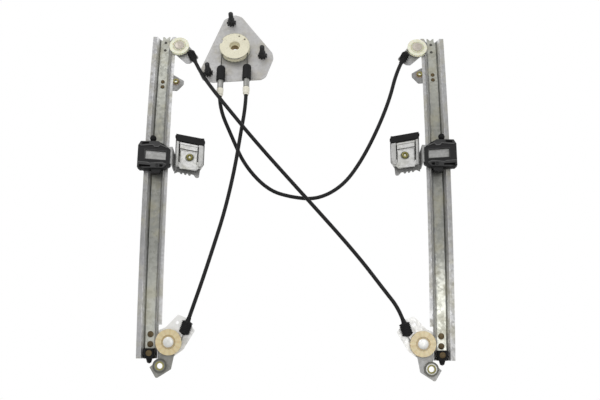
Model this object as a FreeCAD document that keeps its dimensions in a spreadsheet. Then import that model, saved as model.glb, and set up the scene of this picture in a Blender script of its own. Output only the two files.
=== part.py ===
"""A cable window regulator with two curved guide rails and no motor.

Millimetres and degrees. X runs across the door, Z up, and -Y faces the viewer.
The origin is on the drum's axis at the front face of the drum plate. The rails
are parts of one cylinder whose axis runs along X behind the regulator, so every
piece on a rail is placed by an angle about that axis and a height in front of
the rails' front face.
"""
import FreeCAD
import Part
import math
import os
import Sketcher

V = FreeCAD.Vector
doc = FreeCAD.newDocument("WindowRegulator")
sheet = doc.addObject("Spreadsheet::Sheet", "Sizes")


class Size:
    """A number that also knows how the spreadsheet works it out."""

    def __init__(self, value, text):
        self.value = value
        self.text = text

    def __add__(self, other):
        other = as_size(other)
        return Size(self.value + other.value, f"({self.text} + {other.text})")

    def __sub__(self, other):
        other = as_size(other)
        return Size(self.value - other.value, f"({self.text} - {other.text})")

    def __mul__(self, other):
        other = as_size(other)
        return Size(self.value * other.value, f"({self.text} * {other.text})")

    def __truediv__(self, other):
        other = as_size(other)
        return Size(self.value / other.value, f"({self.text} / {other.text})")

    def __neg__(self):
        return Size(-self.value, f"(0 - {self.text})")

    __radd__ = __add__
    __rmul__ = __mul__

    def __rsub__(self, other):
        return as_size(other) - self


def as_size(number):
    if isinstance(number, Size):
        return number
    return Size(float(number), f"({number:.6f})")


def cosine(angle):
    return Size(math.cos(math.radians(angle.value)), f"cos({angle.text} * 1 deg)")


def sine(angle):
    return Size(math.sin(math.radians(angle.value)), f"sin({angle.text} * 1 deg)")


def root(number):
    return Size(math.sqrt(number.value), f"sqrt({number.text})")


sheet_rows = []


def size(name, value):
    """Put one driving dimension on the sheet under its own alias."""
    sheet_rows.append(name)
    row = len(sheet_rows)
    sheet.set(f"A{row}", name)
    sheet.set(f"B{row}", str(value))
    sheet.setAlias(f"B{row}", name)
    return Size(float(value), f"Sizes.{name}")


# Rails
bend_radius = size("bend_radius", 1500)
rail_spacing = size("rail_spacing", 437.6)
drum_offset = size("drum_offset", 115.5)
rail_top_angle = size("rail_top_angle", 10.1)
rail_low_angle = size("rail_low_angle", 10.16)
inner_flange_low_angle = size("inner_flange_low_angle", 8.24)
sheet_gauge = size("sheet_gauge", 1.5)
web_width = size("web_width", 15)
wall_run = size("wall_run", 5)
channel_depth = size("channel_depth", 10)
outer_flange = size("outer_flange", 7)
inner_flange = size("inner_flange", 5.5)

# Cable and pulleys
wire_radius = size("wire_radius", 0.9)
wire_front = size("wire_front", 3.2)
wire_inset = size("wire_inset", 11.8)
groove_clearance = size("groove_clearance", 0.2)
upper_pulley_radius = size("upper_pulley_radius", 16)
upper_groove_radius = size("upper_groove_radius", 13)
lower_pulley_radius = size("lower_pulley_radius", 19.4)
lower_groove_radius = size("lower_groove_radius", 17.2)
pulley_width = size("pulley_width", 5)
pulley_rim_width = size("pulley_rim_width", 1)
hub_radius = size("hub_radius", 7)
recess_width = size("recess_width", 3.2)
upper_pulley_angle = size("upper_pulley_angle", 9.3)
lower_pulley_angle = size("lower_pulley_angle", -9.23)
pin_radius = size("pin_radius", 4)
pin_head_radius = size("pin_head_radius", 7.8)
pin_head_height = size("pin_head_height", 2.4)
pin_tail_radius = size("pin_tail_radius", 6)
pin_tail_height = size("pin_tail_height", 1.5)
running_clearance = size("running_clearance", 0.08)
side_clearance = size("side_clearance", 0.3)
casing_radius = size("casing_radius", 3)
upper_exit_angle = size("upper_exit_angle", 66)
lower_exit_angle = size("lower_exit_angle", 72)

# Brackets, mounts and stops
plate_gauge = size("plate_gauge", 2)
seat_gap = size("seat_gap", 0.3)
bracket_corner = size("bracket_corner", 3)
upper_mount_angle_left = size("upper_mount_angle_left", 6.83)
upper_mount_angle_right = size("upper_mount_angle_right", 7.48)
upper_nut_inset = size("upper_nut_inset", 22.5)
upper_nut_radius = size("upper_nut_radius", 4.3)
upper_nut_height = size("upper_nut_height", 4)
upper_nut_bore = size("upper_nut_bore", 2.6)
lower_nut_drop_left = size("lower_nut_drop_left", 35)
lower_nut_drop_right = size("lower_nut_drop_right", 37)
lower_nut_shift = size("lower_nut_shift", 12.6)
collar_radius = size("collar_radius", 11)
collar_height = size("collar_height", 3)
washer_radius = size("washer_radius", 8.5)
washer_height = size("washer_height", 4)
mount_bore = size("mount_bore", 4.3)
rivet_radius = size("rivet_radius", 2.5)
rivet_head_radius = size("rivet_head_radius", 4.8)
rivet_head_height = size("rivet_head_height", 1.4)
stop_width = size("stop_width", 16)
stop_height = size("stop_height", 15)
stop_front = size("stop_front", 3)

# Drum, its plate and the two cable ports
drum_angle = size("drum_angle", 9.2)
plate_front = size("plate_front", -4)
plate_corner = size("plate_corner", 9)
drum_radius = size("drum_radius", 24.7)
drum_height = size("drum_height", 14.5)
drum_lane_radius = size("drum_lane_radius", 20.8)
lane_pitch = size("lane_pitch", 2.2)
drum_flange = size("drum_flange", 1.6)
socket_radius = size("socket_radius", 8.5)
socket_depth = size("socket_depth", 8.5)
bush_radius = size("bush_radius", 6.5)
bush_bore = size("bush_bore", 5)
bush_collar_radius = size("bush_collar_radius", 9.5)
stud_radius = size("stud_radius", 3.9)
stud_length = size("stud_length", 27)
stud_collar_radius = size("stud_collar_radius", 7.8)
stud_collar_height = size("stud_collar_height", 3)
port_height = size("port_height", 8.3)
port_boot_radius = size("port_boot_radius", 7)
port_boot_length = size("port_boot_length", 27.5)
left_port_drop = size("left_port_drop", 36.5)
right_port_drop = size("right_port_drop", 33.5)
sleeve_radius = size("sleeve_radius", 4.9)
sleeve_reach = size("sleeve_reach", 15)
sleeve_grip = size("sleeve_grip", 10)
ferrule_radius = size("ferrule_radius", 4.3)
ferrule_reach = size("ferrule_reach", 14.5)
ferrule_grip = size("ferrule_grip", 3)
casing_grip = size("casing_grip", 5)
spring_coil_radius = size("spring_coil_radius", 3.2)
spring_wire_radius = size("spring_wire_radius", 0.6)
spring_length = size("spring_length", 12)
spring_turns = size("spring_turns", 5)

# Carriers and glass clamps
left_carrier_angle = size("left_carrier_angle", 1.75)
right_carrier_angle = size("right_carrier_angle", 2.0)
slider_outer = size("slider_outer", 28.9)
slider_inner = size("slider_inner", 21.6)
slider_height = size("slider_height", 46)
slider_front = size("slider_front", 10.4)
slider_clearance = size("slider_clearance", 0.4)
lip_depth = size("lip_depth", 3)
lip_reach = size("lip_reach", 3.5)
window_width = size("window_width", 33)
window_height = size("window_height", 16.5)
carrier_gauge = size("carrier_gauge", 1.7)
carrier_slot_front = size("carrier_slot_front", 6.5)
carrier_tongue_height = size("carrier_tongue_height", 28)
clamp_inset = size("clamp_inset", 28)
clamp_width = size("clamp_width", 43)
clamp_front = size("clamp_front", -26)
clamp_top = size("clamp_top", 42)
clamp_low = size("clamp_low", -15)
pad_gauge = size("pad_gauge", 1.5)
glass_gap = size("glass_gap", 6.5)
jaw_gauge = size("jaw_gauge", 2)
rib_height = size("rib_height", 3.5)
rib_width = size("rib_width", 8)
pad_bar_height = size("pad_bar_height", 11)
screw_rise = size("screw_rise", 4)
wall_gap = size("wall_gap", 1.4)
screw_radius = size("screw_radius", 3)
screw_head_radius = size("screw_head_radius", 5)
screw_head_height = size("screw_head_height", 4)
nipple_radius = size("nipple_radius", 2.6)
nipple_length = size("nipple_length", 9)
bumper_radius = size("bumper_radius", 5.2)

doc.recompute()

# The cylinder's axis, seen from the origin
plate_radius = bend_radius + plate_front
axis_y = plate_radius * cosine(drum_angle)
axis_z = -(plate_radius * sine(drum_angle))
left_rail_x = -drum_offset
right_rail_x = rail_spacing - drum_offset
rail_sides = [("left", 1, left_rail_x), ("right", -1, right_rail_x)]


def vector_text(x, y, z):
    return f"vector({as_size(x).text}; {as_size(y).text}; {as_size(z).text})"


def station_text(across, angle, front):
    """The placement of a point on the cylinder: local Z up the rail, -Y out of its face."""
    radius = bend_radius + front
    base = vector_text(across, axis_y - radius * cosine(angle), axis_z + radius * sine(angle))
    return f"placement({base}; rotation(vector(1; 0; 0); 0 - {angle.text}))"


def local_text(x, y, z, axis="vector(0; 1; 0)", turn=0):
    return f"placement({vector_text(x, y, z)}; rotation({axis}; {as_size(turn).text}))"


def seat(part, across, angle, front, local=None):
    text = station_text(across, as_size(angle), as_size(front))
    if local:
        text += " * " + local
    part.setExpression("Placement", text)
    return part


def set_size(part, prop, value):
    value = as_size(value)
    setattr(part, prop, value.value)
    part.setExpression(prop, value.text)


def new_body(name):
    body = doc.addObject("PartDesign::Body", name)
    body.Label = name
    return body


def new_sketch(body, name, plane, offset=None):
    """A sketch on one of the body's own planes, moved along its normal by offset."""
    sketch = body.newObject("Sketcher::SketchObject", f"{body.Label}_{name}")
    planes = [item for item in body.Origin.OriginFeatures if item.Role == plane]
    sketch.AttachmentSupport = (planes[0], [""])
    sketch.MapMode = "FlatFace"
    if offset is not None:
        sketch.setExpression(".AttachmentOffset.Base.z", as_size(offset).text)
    return sketch


def tie(sketch, kind, geometry, point, value):
    """A signed distance from the sketch's origin, bound to its size."""
    value = as_size(value)
    index = sketch.addConstraint(
        Sketcher.Constraint(kind, -1, 1, geometry, point, value.value))
    sketch.setExpression(f"Constraints[{index}]", value.text)


def outline(sketch, corners):
    """Draw a closed outline of straight lines through the corners."""
    first = sketch.GeometryCount
    count = len(corners)
    spots = [V(as_size(x).value, as_size(y).value, 0) for x, y in corners]
    for index in range(count):
        sketch.addGeometry(Part.LineSegment(spots[index], spots[(index + 1) % count]), False)
    for index in range(count):
        following = first + (index + 1) % count
        sketch.addConstraint(Sketcher.Constraint("Coincident", first + index, 2, following, 1))
    for index, (x, y) in enumerate(corners):
        tie(sketch, "DistanceX", first + index, 1, x)
        tie(sketch, "DistanceY", first + index, 1, y)


def circle(sketch, x, y, radius):
    x, y, radius = as_size(x), as_size(y), as_size(radius)
    index = sketch.addGeometry(
        Part.Circle(V(x.value, y.value, 0), V(0, 0, 1), radius.value), False)
    tie(sketch, "DistanceX", index, 3, x)
    tie(sketch, "DistanceY", index, 3, y)
    ring = sketch.addConstraint(Sketcher.Constraint("Radius", index, radius.value))
    sketch.setExpression(f"Constraints[{ring}]", radius.text)


def pad(body, sketch, length, reverse=False):
    feature = body.newObject("PartDesign::Pad", f"{sketch.Name}_pad")
    feature.Profile = sketch
    set_size(feature, "Length", length)
    feature.Reversed = reverse
    sketch.Visibility = False
    return feature


def pocket(body, sketch, length, reverse=False):
    feature = body.newObject("PartDesign::Pocket", f"{sketch.Name}_pocket")
    feature.Profile = sketch
    set_size(feature, "Length", length)
    feature.Reversed = reverse
    return feature


def revolve(body, sketch, axis="V_Axis", angle=360, reverse=False):
    feature = body.newObject("PartDesign::Revolution", f"{sketch.Name}_revolve")
    feature.Profile = sketch
    feature.ReferenceAxis = (sketch, [axis])
    set_size(feature, "Angle", angle)
    feature.Reversed = reverse
    return feature


def round_corners(body, spots, radius, along="y"):
    """Fillet the straight edges that run along one local axis through the given spots."""
    doc.recompute()
    feature_shape = body.Tip.Shape
    names = []
    for index, edge in enumerate(feature_shape.Edges):
        if len(edge.Vertexes) != 2:
            continue
        start, end = [corner.Point for corner in edge.Vertexes]
        if along == "y":
            flat_start, flat_end = (start.x, start.z), (end.x, end.z)
        else:
            flat_start, flat_end = (start.x, start.y), (end.x, end.y)
        if math.dist(flat_start, flat_end) > 0.01:
            continue
        if any(math.dist(flat_start, spot) < 0.05 for spot in spots):
            names.append(f"Edge{index + 1}")
    fillet = body.newObject("PartDesign::Fillet", f"{body.Label}_rounding")
    fillet.Base = (body.Tip if body.Tip != fillet else fillet.BaseFeature, names)
    set_size(fillet, "Radius", radius)
    return fillet


def numbers(corners):
    return [(as_size(x).value, as_size(y).value) for x, y in corners]


def group(name, members):
    """Like pieces that share one node, each a solid of its own."""
    box = doc.addObject("Part::Compound", name)
    box.Label = name
    box.Links = members
    return box


def mirrored(corners, hand):
    """Turn an outline drawn for the left rail into the right rail's."""
    return [(as_size(x) * hand, y) for x, y in corners]


pieces = []


def keep(piece):
    pieces.append(piece)
    return piece


# Guide rails: a pressed channel with a flange along each side
bend_shift = sheet_gauge * (root(wall_run * wall_run + channel_depth * channel_depth) - wall_run)
bend_shift = bend_shift / channel_depth
stop_rise_angle = stop_height / bend_radius * (180 / math.pi)
stop_rivet_angle = stop_rise_angle * 0.55 - rail_low_angle
web_half = web_width / 2
channel_half = web_half + wall_run
flange_front = -bend_radius
flange_back = sheet_gauge - bend_radius
web_front = channel_depth - bend_radius
web_back = channel_depth + sheet_gauge - bend_radius
outer_edge = channel_half + outer_flange
inner_edge = channel_half + inner_flange


def guide_rail(side, hand, across):
    body = new_body(f"{side}_rail")
    seat_text = f"placement({vector_text(across, axis_y, axis_z)};"
    body.setExpression("Placement", f"{seat_text} rotation(vector(1; 0; 0); 0 - Sizes.rail_top_angle))")
    section = new_sketch(body, "section", "XY_Plane")
    outline(section, mirrored([
        (-outer_edge, flange_front), (-channel_half, flange_front), (-web_half, web_front),
        (web_half, web_front), (channel_half, flange_front), (channel_half + bend_shift, flange_front),
        (channel_half + bend_shift, flange_back), (web_half + bend_shift, web_back),
        (-web_half - bend_shift, web_back), (-channel_half - bend_shift, flange_back),
        (-outer_edge, flange_back)], hand))
    revolve(body, section, "H_Axis", rail_top_angle + rail_low_angle)
    inner = new_sketch(body, "inner_flange", "XY_Plane")
    outline(inner, mirrored([
        (channel_half, flange_front), (inner_edge, flange_front),
        (inner_edge, flange_back), (channel_half + bend_shift, flange_back)], hand))
    revolve(body, inner, "H_Axis", rail_top_angle + inner_flange_low_angle)
    return body


def lower_rivet_spots(across):
    """The lowest of the three also holds the rubber stop."""
    return [(across, lower_pulley_angle + 0.45), (across, lower_pulley_angle - 0.12),
            (across, stop_rivet_angle)]


def upper_rivet_spots(across, mount_angle):
    return [(across, mount_angle + turn) for turn in (0.18, -0.18)]


def drill_rail(rail, spots, radius):
    """Cut round holes through the web at each spot."""
    tools = []
    for index, (across, angle) in enumerate(spots):
        tool = doc.addObject("Part::Cylinder", f"{rail.Label}_drill_{index}")
        set_size(tool, "Radius", radius)
        set_size(tool, "Height", sheet_gauge + 4)
        deep = -channel_depth - sheet_gauge - 2
        seat(tool, across, angle, deep, local_text(0, 0, 0, "vector(1; 0; 0)", 90))
        tools.append(tool)
    drilled = doc.addObject("Part::Cut", f"{rail.Label}_drilled")
    drills = doc.addObject("Part::Compound", f"{rail.Label}_drills")
    drills.Links = tools
    drilled.Base = rail
    drilled.Tool = drills
    rail.Label = f"{rail.Label}_blank"
    return drilled


mount_angles = {"left": upper_mount_angle_left, "right": upper_mount_angle_right}
nut_drops = {"left": lower_nut_drop_left, "right": lower_nut_drop_right}
rivet_hole = rivet_radius + 0.05
for side, hand, across in rail_sides:
    blank = guide_rail(side, hand, across)
    spots = lower_rivet_spots(across) + upper_rivet_spots(across, mount_angles[side])
    rail = drill_rail(blank, spots, rivet_hole)
    rail.Label = f"{side}_rail"
    keep(rail)


# Brackets behind the rails: a tongue under the web, a ramp and a plate for the pulley
bracket_front = -sheet_gauge - seat_gap
tongue_front = -channel_depth - sheet_gauge - seat_gap
bracket_back = bracket_front - plate_gauge
upper_pulley_x = wire_inset + upper_groove_radius
lower_pulley_x = wire_inset + lower_groove_radius


def bracket(name, side, hand, across, angle, pulley_x, plate_corners, tongue_low, tongue_high, holes):
    """The pulley's axis is the local origin; depth 0 is the plate's back face."""
    body = seat(new_body(f"{side}_{name}"), across + pulley_x * hand, angle, bracket_back)
    plate = new_sketch(body, "plate", "XZ_Plane")
    corners = mirrored(plate_corners, hand)
    outline(plate, corners)
    pad(body, plate, plate_gauge)
    round_corners(body, numbers(corners[2:-2]), bracket_corner)
    foot = tongue_front - bracket_back
    shift = bend_shift + seat_gap
    ramp_low = web_half + shift - pulley_x
    ramp_high = channel_half + shift - pulley_x
    lean = plate_gauge * bend_shift / sheet_gauge
    section = new_sketch(body, "tongue", "XY_Plane", tongue_low)
    outline(section, mirrored([
        (-web_half - pulley_x, -foot), (ramp_low, -foot), (ramp_high, -plate_gauge),
        (ramp_high + plate_gauge, -plate_gauge), (ramp_high + plate_gauge, 0), (ramp_high + lean, 0),
        (ramp_low + lean, plate_gauge - foot), (-web_half - pulley_x, plate_gauge - foot)], hand))
    pad(body, section, tongue_high - tongue_low)
    cutter = new_sketch(body, "holes", "XZ_Plane", -1)
    for x, z, radius in holes:
        circle(cutter, as_size(x) * hand, z, radius)
    pocket(body, cutter, plate_gauge + 2, True)
    return body


def drill_tongue(piece, spots):
    """The same rivet holes as the rail's, through the tongue behind its web."""
    tools = []
    for index, (across, angle) in enumerate(spots):
        tool = doc.addObject("Part::Cylinder", f"{piece.Label}_drill_{index}")
        set_size(tool, "Radius", rivet_hole)
        set_size(tool, "Height", plate_gauge + 4)
        deep = tongue_front - plate_gauge - 2
        seat(tool, across, angle, deep, local_text(0, 0, 0, "vector(1; 0; 0)", 90))
        tools.append(tool)
    drills = doc.addObject("Part::Compound", f"{piece.Label}_drills")
    drills.Links = tools
    drilled = doc.addObject("Part::Cut", f"{piece.Label}_drilled")
    drilled.Base = piece
    drilled.Tool = drills
    label = piece.Label
    piece.Label = f"{label}_blank"
    drilled.Label = label
    return drilled


plate_start_upper = channel_half + bend_shift + seat_gap - upper_pulley_x
plate_start_lower = channel_half + bend_shift + seat_gap - lower_pulley_x
for side, hand, across in rail_sides:
    upper_corners = [
        (plate_start_upper, 14), (plate_start_upper, -12), (-5.4, -12.8), (11.9, -29.1),
        (18.3, -29.1), (32.4, -18.2), (16.7, 1.8), (8, 13), (-2, 20), (-9, 20)]
    keep(bracket("upper_bracket", side, hand, across, upper_pulley_angle, upper_pulley_x,
                 upper_corners, as_size(-10), as_size(13),
                 [(0, 0, pin_radius + 0.05)]))
    drop = nut_drops[side]
    ear_x = -lower_nut_shift
    lower_corners = [
        (plate_start_lower, -25.5), (plate_start_lower, 18), (-5.5, 22.3), (12.9, 41.4),
        (23.7, 36.9), (38.4, 17.4), (21.5, -11), (7.8, -20.6), (ear_x + 16.5, -drop - 5),
        (ear_x - 5.5, -drop - 19), (ear_x - 15.5, -drop - 2), (-15.5, -27)]
    lower = bracket("lower_bracket", side, hand, across, lower_pulley_angle, lower_pulley_x,
                    lower_corners, as_size(-24), as_size(16),
                    [(0, 0, pin_radius + 0.05), (11.7, 29.2, 2.2), (ear_x, -drop, mount_bore)])
    keep(drill_tongue(lower, lower_rivet_spots(across)))


# Ears that carry the weld nuts for the door's upper bolts
plate_start_mount = channel_half + bend_shift + seat_gap - upper_nut_inset
for side, hand, across in rail_sides:
    ear_corners = [
        (plate_start_mount, 12), (plate_start_mount, -15), (2.5, -16), (12.5, -4),
        (12.5, 2), (-3, 12)]
    ear = bracket("upper_mount", side, hand, across, mount_angles[side], upper_nut_inset,
                  ear_corners, as_size(-15), as_size(12), [(0, 0, upper_nut_bore + 0.3)])
    keep(drill_tongue(ear, upper_rivet_spots(across, mount_angles[side])))


def turned(name, corners, across, angle, front, local=None):
    """A turned piece: corners are (radius, height in front of its seat), axis out of the face."""
    body = seat(new_body(name), across, angle, front, local)
    section = new_sketch(body, "section", "XY_Plane")
    outline(section, [(radius, -as_size(height)) for radius, height in corners])
    revolve(body, section)
    return body


def rivet(name, across, angle, head_front, tail_front, radius, head_radius):
    """A domed head on the web and an upset tail behind the bracket."""
    length = head_front - tail_front
    return turned(name, [
        (0, -rivet_head_height), (head_radius, -rivet_head_height), (head_radius, 0),
        (radius, 0), (radius, length), (head_radius, length),
        (head_radius - 0.5, length + rivet_head_height * 0.7),
        (head_radius * 0.5, length + rivet_head_height), (0, length + rivet_head_height)],
        across, angle, tail_front)


rivet_tail_front = tongue_front - plate_gauge - 0.02
lower_rivets = []
upper_rivets = []
for side, hand, across in rail_sides:
    for index, (x, angle) in enumerate(lower_rivet_spots(across)):
        seat_front = stop_front + 0.04 if index == 2 else -channel_depth
        lower_rivets.append(rivet(f"{side}_lower_rivet_{index}", x, angle, seat_front + 0.02,
                                  rivet_tail_front, rivet_radius, rivet_head_radius))
    for index, (x, angle) in enumerate(upper_rivet_spots(across, mount_angles[side])):
        upper_rivets.append(rivet(f"{side}_upper_rivet_{index}", x, angle, -channel_depth + 0.02,
                                  rivet_tail_front, rivet_radius, rivet_radius + 0.8))
keep(group("rail_rivets", lower_rivets + upper_rivets))

# Nuts that take the door's bolts
upper_nuts = []
collars = []
washers = []
for side, hand, across in rail_sides:
    upper_nuts.append(turned(f"{side}_upper_nut", [
        (upper_nut_bore, 0), (upper_nut_radius, 0), (upper_nut_radius, upper_nut_height - 0.8),
        (upper_nut_radius - 0.8, upper_nut_height), (upper_nut_bore, upper_nut_height)],
        across + upper_nut_inset * hand, mount_angles[side], bracket_front + 0.02))
    nut_x = across + (lower_pulley_x - lower_nut_shift) * hand
    drop_text = local_text(0, 0, -nut_drops[side])
    groove_radius = (collar_radius + washer_radius) / 2
    collars.append(turned(f"{side}_collar", [
        (washer_radius + 0.1, 0), (collar_radius, 0), (collar_radius, collar_height - 0.6),
        (collar_radius - 0.6, collar_height), (groove_radius + 0.5, collar_height),
        (groove_radius + 0.5, collar_height - 1.2), (groove_radius - 0.5, collar_height - 1.2),
        (groove_radius - 0.5, collar_height), (washer_radius + 0.1, collar_height)],
        nut_x, lower_pulley_angle, bracket_front + 0.02, drop_text))
    washers.append(turned(f"{side}_washer", [
        (mount_bore, 0), (washer_radius, 0), (washer_radius, washer_height - 0.6),
        (washer_radius - 0.6, washer_height), (mount_bore + 0.6, washer_height),
        (mount_bore, washer_height - 0.6)],
        nut_x, lower_pulley_angle, bracket_front + 0.02, drop_text))
keep(group("upper_mount_nuts", upper_nuts))
keep(group("lower_mount_collars", collars))
keep(group("lower_mount_washers", washers))


# Rubber stops in the rails' lower ends
for side, hand, across in rail_sides:
    body = seat(new_body(f"{side}_lower_stop"), across, -rail_low_angle, -channel_depth + seat_gap)
    section = new_sketch(body, "section", "XY_Plane")
    depth = channel_depth + stop_front - seat_gap
    lower_half = web_half - seat_gap
    outline(section, [
        (-lower_half, 0), (lower_half, 0), (stop_width / 2, -depth * 0.7), (stop_width / 2 - 2, -depth),
        (2 - stop_width / 2, -depth), (-stop_width / 2, -depth * 0.7)])
    pad(body, section, stop_height)
    drill = new_sketch(body, "drill", "XZ_Plane", -1)
    circle(drill, 0, stop_height * 0.55, rivet_hole + 0.15)
    pocket(body, drill, depth + 2, True)
    nose = new_sketch(body, "nose", "YZ_Plane")
    outline(nose, [
        (-depth * 0.5, 0), (-depth * 0.5 + 5, 0), (-depth * 0.5 + 3.2, -6), (-depth * 0.5, -7.5)])
    turn = body.newObject("PartDesign::Revolution", f"{side}_nose_turn")
    turn.Profile = nose
    turn.ReferenceAxis = (nose, ["Edge4"])
    turn.Angle = 360
    keep(body)


# Pulleys run on pins that stand on the brackets
pulley_back = wire_front - pulley_width / 2
pin_seat = bracket_front


def pulley(name, across, angle, radius, groove_radius):
    """A disc with a round-bottomed groove for the cable and a raised hub."""
    half = pulley_width / 2
    root_radius = groove_radius - wire_radius - groove_clearance
    trough = wire_radius + groove_clearance
    mouth = half - pulley_rim_width
    web = pulley_width * 0.2
    hub = hub_radius
    rim_inner = hub_radius + recess_width
    return turned(name, [
        (pin_radius + running_clearance, 0), (hub, 0), (hub + 0.6, web), (rim_inner, web),
        (rim_inner + 0.6, 0), (radius - 0.4, 0), (radius, 0.4), (radius, half - mouth),
        (root_radius + trough, half - trough * 0.95), (root_radius + 0.35, half - trough * 0.7),
        (root_radius, half), (root_radius + 0.35, half + trough * 0.7),
        (root_radius + trough, half + trough * 0.95), (radius, half + mouth),
        (radius, pulley_width - 0.4), (radius - 0.4, pulley_width),
        (rim_inner + 0.6, pulley_width), (rim_inner, pulley_width - web),
        (hub + 0.6, pulley_width - web), (hub, pulley_width),
        (pin_radius + running_clearance, pulley_width)],
        across, angle, pulley_back)


def pulley_pin(name, across, angle):
    """Tail behind the bracket, collar under the pulley, domed head over it."""
    collar = pulley_back - side_clearance - pin_seat
    under = pulley_back - pin_seat + pulley_width + side_clearance
    back = -plate_gauge
    return turned(name, [
        (0, back - pin_tail_height), (pin_tail_radius - 1, back - pin_tail_height),
        (pin_tail_radius, back - 0.5), (pin_tail_radius, back - 0.02), (pin_radius, back - 0.02),
        (pin_radius, 0.02), (pin_tail_radius, 0.02), (pin_tail_radius, collar), (pin_radius, collar),
        (pin_radius, under), (pin_head_radius, under), (pin_head_radius, under + pin_head_height * 0.4),
        (pin_head_radius * 0.8, under + pin_head_height * 0.8),
        (pin_head_radius * 0.45, under + pin_head_height), (0, under + pin_head_height)],
        across, angle, pin_seat)


for level, angle, offset, radius, groove_radius in (
        ("upper", upper_pulley_angle, upper_pulley_x, upper_pulley_radius, upper_groove_radius),
        ("lower", lower_pulley_angle, lower_pulley_x, lower_pulley_radius, lower_groove_radius)):
    pins = []
    for side, hand, across in rail_sides:
        spot = across + offset * hand
        keep(pulley(f"{side}_{level}_pulley", spot, angle, radius, groove_radius))
        pins.append(pulley_pin(f"{side}_{level}_pin", spot, angle))
    keep(group(f"{level}_pulley_pins", pins))


# Drum plate with its studs and bush
plate_outline = [
    (-20, 62), (-3, 71.5), (9, 67), (61, -4), (63, -15), (51.5, -50), (44, -55.5),
    (-34, -61.5), (-50, -58), (-57, -43)]
stud_spots = [(-8, 55), (45, -10), (-42, -44)]
plate_body = seat(new_body("drum_plate"), as_size(0), drum_angle, plate_front - plate_gauge)
plate_sketch = new_sketch(plate_body, "outline", "XZ_Plane")
outline(plate_sketch, plate_outline)
circle(plate_sketch, 0, 0, bush_radius + 0.02)
for x, z in stud_spots:
    circle(plate_sketch, x, z, stud_radius + 0.02)
pad(plate_body, plate_sketch, plate_gauge)
round_corners(plate_body, numbers(plate_outline), plate_corner)
keep(plate_body)

studs = []
for index, (x, z) in enumerate(stud_spots):
    studs.append(turned(f"stud_{index}", [
        (0, -plate_gauge - 1.6), (stud_collar_radius - 1, -plate_gauge - 1.6),
        (stud_collar_radius - 1, -plate_gauge - 0.02), (stud_radius, -plate_gauge - 0.02),
        (stud_radius, 0.02), (stud_collar_radius, 0.02), (stud_collar_radius, stud_collar_height * 0.4),
        (stud_radius + 1.2, stud_collar_height), (stud_radius, stud_collar_height),
        (stud_radius, stud_length - 1.5), (stud_radius - 1.2, stud_length), (0, stud_length)],
        as_size(0), drum_angle, plate_front, local_text(x, 0, z)))
keep(group("plate_studs", studs))

drum_back = side_clearance + 1.4
keep(turned("drum_bush", [
    (bush_bore, -plate_gauge - 1.2), (bush_collar_radius, -plate_gauge - 1.2),
    (bush_collar_radius, -plate_gauge - 0.02), (bush_radius, -plate_gauge - 0.02),
    (bush_radius, 0.02), (bush_collar_radius, 0.02), (bush_collar_radius, drum_back - side_clearance),
    (bush_radius, drum_back - side_clearance), (bush_radius, drum_height - socket_depth - 0.5),
    (bush_bore, drum_height - socket_depth - 0.5)],
    as_size(0), drum_angle, plate_front))

# Cable drum: four lanes between two flanges, and a drive socket in its face
lanes = [port_height + lane_pitch * step for step in (-1.5, -0.5, 0.5, 1.5)]
lane_root = drum_lane_radius - wire_radius - groove_clearance
ridge = drum_lane_radius - 0.3


def drum():
    corners = [
        (bush_radius + running_clearance, drum_back), (drum_radius - 0.5, drum_back),
        (drum_radius, drum_back + 0.5), (drum_radius, lanes[0] - lane_pitch / 2 - 0.3),
        (ridge, lanes[0] - lane_pitch / 2)]
    for index, lane in enumerate(lanes):
        corners.append((lane_root, lane - wire_radius * 0.6))
        corners.append((lane_root, lane + wire_radius * 0.6))
        if index < len(lanes) - 1:
            corners.append((ridge, lane + lane_pitch / 2))
    corners += [
        (ridge, lanes[3] + lane_pitch / 2), (drum_radius, lanes[3] + lane_pitch / 2 + 0.3),
        (drum_radius, drum_height - 0.5), (drum_radius - 0.5, drum_height),
        (socket_radius + 0.8, drum_height), (socket_radius, drum_height - 0.8),
        (socket_radius, drum_height - socket_depth),
        (bush_radius + running_clearance, drum_height - socket_depth)]
    body = turned("cable_drum", corners, as_size(0), drum_angle, plate_front)
    notches = new_sketch(body, "notches", "XZ_Plane", drum_height - drum_flange - 0.6)
    outline(notches, [(-26, 3), (-21, 4.5), (-18.5, 11.5), (-24, 13)])
    circle(notches, 6.8, 18.5, 1.6)
    circle(notches, 15.8, 12.5, 2)
    pocket(body, notches, drum_flange + 2, True)
    return body


keep(drum())
windings = []
for index, lane in enumerate(lanes[1:3]):
    ring = doc.addObject("Part::Torus", f"winding_{index}")
    set_size(ring, "Radius1", drum_lane_radius)
    set_size(ring, "Radius2", wire_radius)
    seat(ring, as_size(0), drum_angle, plate_front + lane, local_text(0, 0, 0, "vector(1; 0; 0)", 90))
    windings.append(ring)
keep(group("drum_windings", windings))


# Cable ports below the drum: a rubber boot, a steel sleeve with its spring, and an ivory ferrule
def upright(name, corners, across, angle, front, local):
    """A turned piece whose axis runs down the rail: corners are (radius, distance along it)."""
    body = seat(new_body(name), across, angle, front, local)
    section = new_sketch(body, "section", "XZ_Plane")
    outline(section, [(radius, -as_size(along)) for radius, along in corners])
    revolve(body, section)
    return body


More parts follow.
